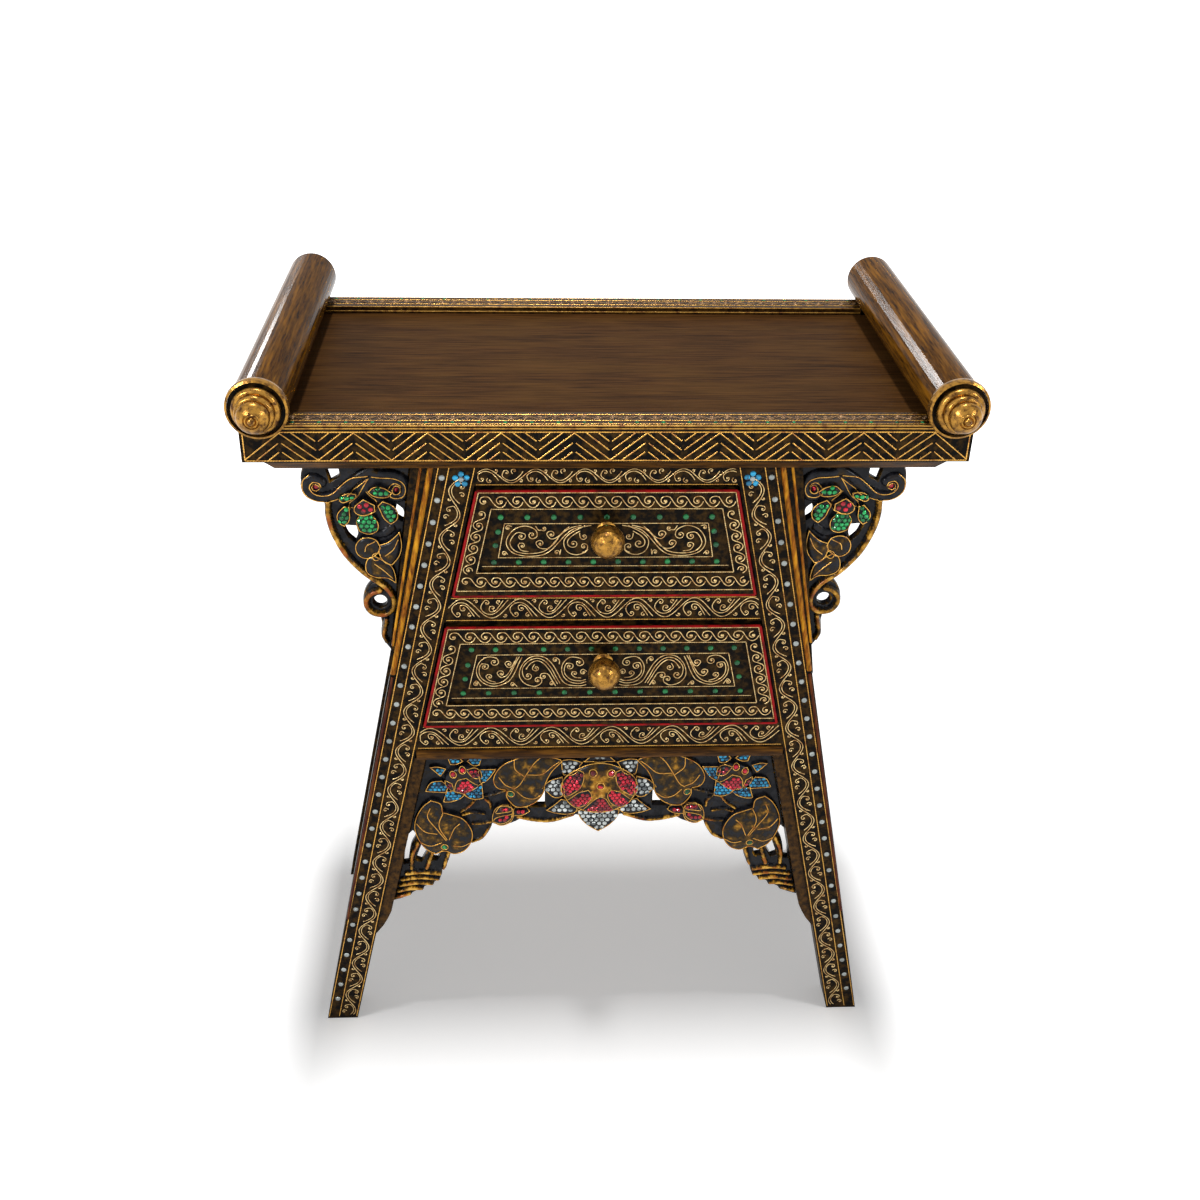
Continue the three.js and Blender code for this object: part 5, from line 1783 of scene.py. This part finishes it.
# %% Carve both brackets
WING_GRID = 0.9
wing = {"board": loop(wing_board), "windows": [loop(ring) for ring in wing_windows], "ground": GROUND}
wing["forms"] = [
    strand(LEFT_SCROLL, 10.0, 9.0, 3.6, 0.14),
    strand(RIGHT_SCROLL, 9.0, 9.0, 3.6, 0.14),
    strand(ARM_RIM, 6.4, 9.0, 5.4, 0.8),
    strand([(-206, 522), (-208, 512), (-209.5, 504), (-207, 497)], 5.0, 9.0, 4.4, 0.7),
    strand([(-213, 612), (-203, 613), (-196, 618)], 8.0, 8.6, 2.0, 0.12),
]
wing["forms"] += [form(lobe, 10.5, 4.4, 8.0, 0.32) for lobe in LEAF_LOBES]
wing["forms"] += [form(petal, 11.0, 4.6, 6.0, 0.12) for petal in GREEN_PETALS]
wing["forms"].append(form(GREEN_HEART, 14.0, 2.6, 4.0, 0.2))
carved("wing_relief_left", wing, WING_GRID, "wing_carving_front_left")
carved("wing_relief_right", wing, WING_GRID, "wing_carving_front_right", mirror=True)

# %% Threads and glass on the brackets


def two_wings(lines):
    """What was laid on the left bracket, together with its mirror image."""
    return lines + [line * [-1, 1, 1] for line in lines]


def two_wing_spots(spots):
    """The same for single places, with the direction they face."""
    return spots + [((-x, y, z), (-u, v, w), radius) for (x, y, z), (u, v, w), radius in spots]


lobe_lines = [rim_of(lobe, 0.7) for lobe in LEAF_LOBES] + [rounded(way) for way in LOBE_VEINS]
lobe_lines += [rim_of(petal) for petal in GREEN_PETALS + [GREEN_HEART]]
lobe_lines += [rounded(way) for way in SCROLL_LINES]
lobe_lines += [ring_round(spot, 3.6) for spot in WING_RED_STONES] + [ring_round(LEAF_STONE, 3.8)]
threads("wing_lines", two_wings(on_carving(lobe_lines, wing)), GOLD_THREAD, thickness=1.15)
green_glass = glass_in(GREEN_PETALS, wing, *GREEN_PAVING) + glass_at([LEAF_STONE], wing, 2.8)
domes("wing_green_glass", two_wing_spots(green_glass), GREEN_GLASS)
wing_red = glass_at(HEART_STONES, wing, 2.4) + glass_at(WING_RED_STONES, wing, 2.6)
domes("wing_red_glass", two_wing_spots(wing_red), RED_GLASS)

# %% [markdown]
# The table stands on a pale floor in a white room. Light strong enough to make them white would wash
# out the lacquer. So they glow, for what the camera and reflections see, and light the table only
# weakly. Near the feet the floor glows less, because the shadow has to show there.

# %% Floor
FLOOR_GLOW = 0.3
# From here to there, in metres from the middle, the floor's glow grows to full white.
GLOW_FROM = 0.9
GLOW_TO = 2.0


def seen_only(tree):
    """One for rays that the camera or a reflection looks along, or that pass a glass, else zero."""
    rays = node(tree, "ShaderNodeLightPath").outputs
    seen = node(tree, "ShaderNodeMath", {
        0: rays["Is Camera Ray"], 1: rays["Is Glossy Ray"]}, operation="MAXIMUM")
    return node(tree, "ShaderNodeMath", {
        0: seen.outputs[0], 1: rays["Is Transmission Ray"]}, operation="MAXIMUM").outputs[0]


bpy.ops.mesh.primitive_plane_add(size=30, location=(0, 0, -0.0005))
floor = bpy.context.active_object
floor.name = "floor"
floor_paint = bpy.data.materials.new("pale_floor")
floor_paint.use_nodes = True
tree = floor_paint.node_tree
tree.nodes.clear()
matt = node(tree, "ShaderNodeBsdfDiffuse", {"Color": (0.9, 0.9, 0.9, 1.0)})
spot = node(tree, "ShaderNodeTexCoord").outputs["Object"]
away = node(tree, "ShaderNodeVectorMath", {0: spot}, operation="LENGTH")
haze = node(tree, "ShaderNodeMapRange", {
    "Value": away.outputs["Value"], "From Min": GLOW_FROM, "From Max": GLOW_TO, "To Min": FLOOR_GLOW,
    "To Max": 1.0}, interpolation_type="SMOOTHSTEP")
strength = node(tree, "ShaderNodeMath", {0: seen_only(tree), 1: haze.outputs[0]}, operation="MULTIPLY")
glow = node(tree, "ShaderNodeEmission", {"Strength": strength.outputs[0]})
both = node(tree, "ShaderNodeAddShader", {0: matt.outputs[0], 1: glow.outputs[0]})
node(tree, "ShaderNodeOutputMaterial", {"Surface": both.outputs[0]})
floor.data.materials.append(floor_paint)
floor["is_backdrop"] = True
print("floor", round(floor.dimensions.x), "m wide")

# %% World
WORLD_LIGHT = 0.25
scene = bpy.context.scene
world = bpy.data.worlds.new("studio")
scene.world = world
world.use_nodes = True
tree = world.node_tree
tree.nodes.clear()
strength = node(tree, "ShaderNodeMapRange", {
    "Value": seen_only(tree), "To Min": WORLD_LIGHT, "To Max": 1.0})
sky = node(tree, "ShaderNodeBackground", {
    "Color": (1.0, 1.0, 1.0, 1.0), "Strength": strength.outputs[0]})
node(tree, "ShaderNodeOutputWorld", {"Surface": sky.outputs[0]})
print("the room's light on the table:", WORLD_LIGHT)

# %% [markdown]
# Black lacquer shows its lamps more than its own colour, so each lamp has one job. One high above
# lights the tops and throws the soft shadow between the feet, and a second beside it lights only the
# floor. Two small ones, from the left in front and from the right, put short bright lights on threads
# and glass, and leave the floor out so that no other shadow lies on it. Two behind the table each
# lay a bright streak on one roll alone. A group of pieces tells a lamp what it lights.

# %% Lamps


def lit_group(name, pieces, state):
    """A group that a lamp lights alone, or leaves out, after the state INCLUDE or EXCLUDE."""
    group = bpy.data.collections.new(name)
    for piece in pieces:
        group.objects.link(piece)
    for entry in group.collection_objects:
        entry.light_linking.link_state = state
    return group


def soft_lamp(name, place, aim, size, power, group=None):
    """A flat rectangular lamp that looks at a point. The size is its width and its height."""
    data = bpy.data.lights.new(name, "AREA")
    data.shape = "RECTANGLE"
    data.size, data.size_y = size
    data.energy = power
    lamp = bpy.data.objects.new(name, data)
    scene.collection.objects.link(lamp)
    direction = Vector(aim) - Vector(place)
    lamp.rotation_euler = direction.to_track_quat("-Z", "Y").to_euler()
    lamp.location = place
    if group:
        lamp.light_linking.receiver_collection = group


all_but_floor = lit_group("all_but_the_floor", [floor], "EXCLUDE")
floor_only = lit_group("floor_only", [floor], "INCLUDE")
# Each lamp: its place, its aim, its width and height in metres, and its power in watts.
soft_lamp("top_lamp", (0.0, 0.05, 12.0), (0, 0.06, 0.0), (0.9, 2.6), 960)
soft_lamp("floor_lamp", (0.0, 0.3, 12.0), (0, 0.06, 0.0), (0.9, 2.8), 330, floor_only)
soft_lamp("key_lamp", (-1.9, -2.1, 1.9), (0, 0, 0.5), (0.35, 0.35), 50, all_but_floor)
soft_lamp("fill_lamp", (2.2, -1.7, 1.7), (0, 0, 0.5), (0.3, 0.3), 18, all_but_floor)
# The roll's side, the lamp's X, and its power.
for word, x, power in (("left", -1.4, 60), ("right", -0.85, 100)):
    roll_only = lit_group(f"roll_{word}_only", [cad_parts[f"roll_{word}"]], "INCLUDE")
    soft_lamp(f"streak_lamp_{word}", (x, 2.6, 1.78), (0, 0, 0.76), (0.5, 0.7), power, roll_only)
print("lamps:", len(bpy.data.lights))

# %% [markdown]
# The camera stands where the photograph was taken from: in front, a little to the left, looking down
# at about thirty degrees. Its numbers were fitted to the table's corners in the photograph.

# %% Camera
CAMERA_PLACE = (-0.0705, -1.2437, 1.2114)
LENS = 41.64
TURNED_ROUND = -3.378
LOOKING_DOWN = 30.60
TILTED = 1.356
camera_data = bpy.data.cameras.new("camera")
camera_data.lens = LENS
camera_data.sensor_width = 36.0
camera = bpy.data.objects.new("camera", camera_data)
scene.collection.objects.link(camera)
aim = (Matrix.Rotation(math.radians(TURNED_ROUND), 4, "Z")
       @ Matrix.Rotation(math.radians(90 - LOOKING_DOWN), 4, "X")
       @ Matrix.Rotation(math.radians(TILTED), 4, "Z"))
camera.matrix_world = Matrix.Translation(CAMERA_PLACE) @ aim
scene.camera = camera
scene.view_settings.view_transform = "Standard"
print("camera height", round(camera.location.z, 3))

# %% [markdown]
# The script ends by printing the dressed table's box next to the boards' box, because the ornament
# must not make the table bigger.

# %% Sizes and the end
low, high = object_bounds()
sizes = {"cad": [list(map(float, cad_low)), list(map(float, cad_high))],
         "visual": [list(map(float, low)), list(map(float, high))]}
print("triangles of the new pieces:", sum(pieces_made.values()))
print("box of the boards", sizes["cad"])
print("box of the dressed table", sizes["visual"])
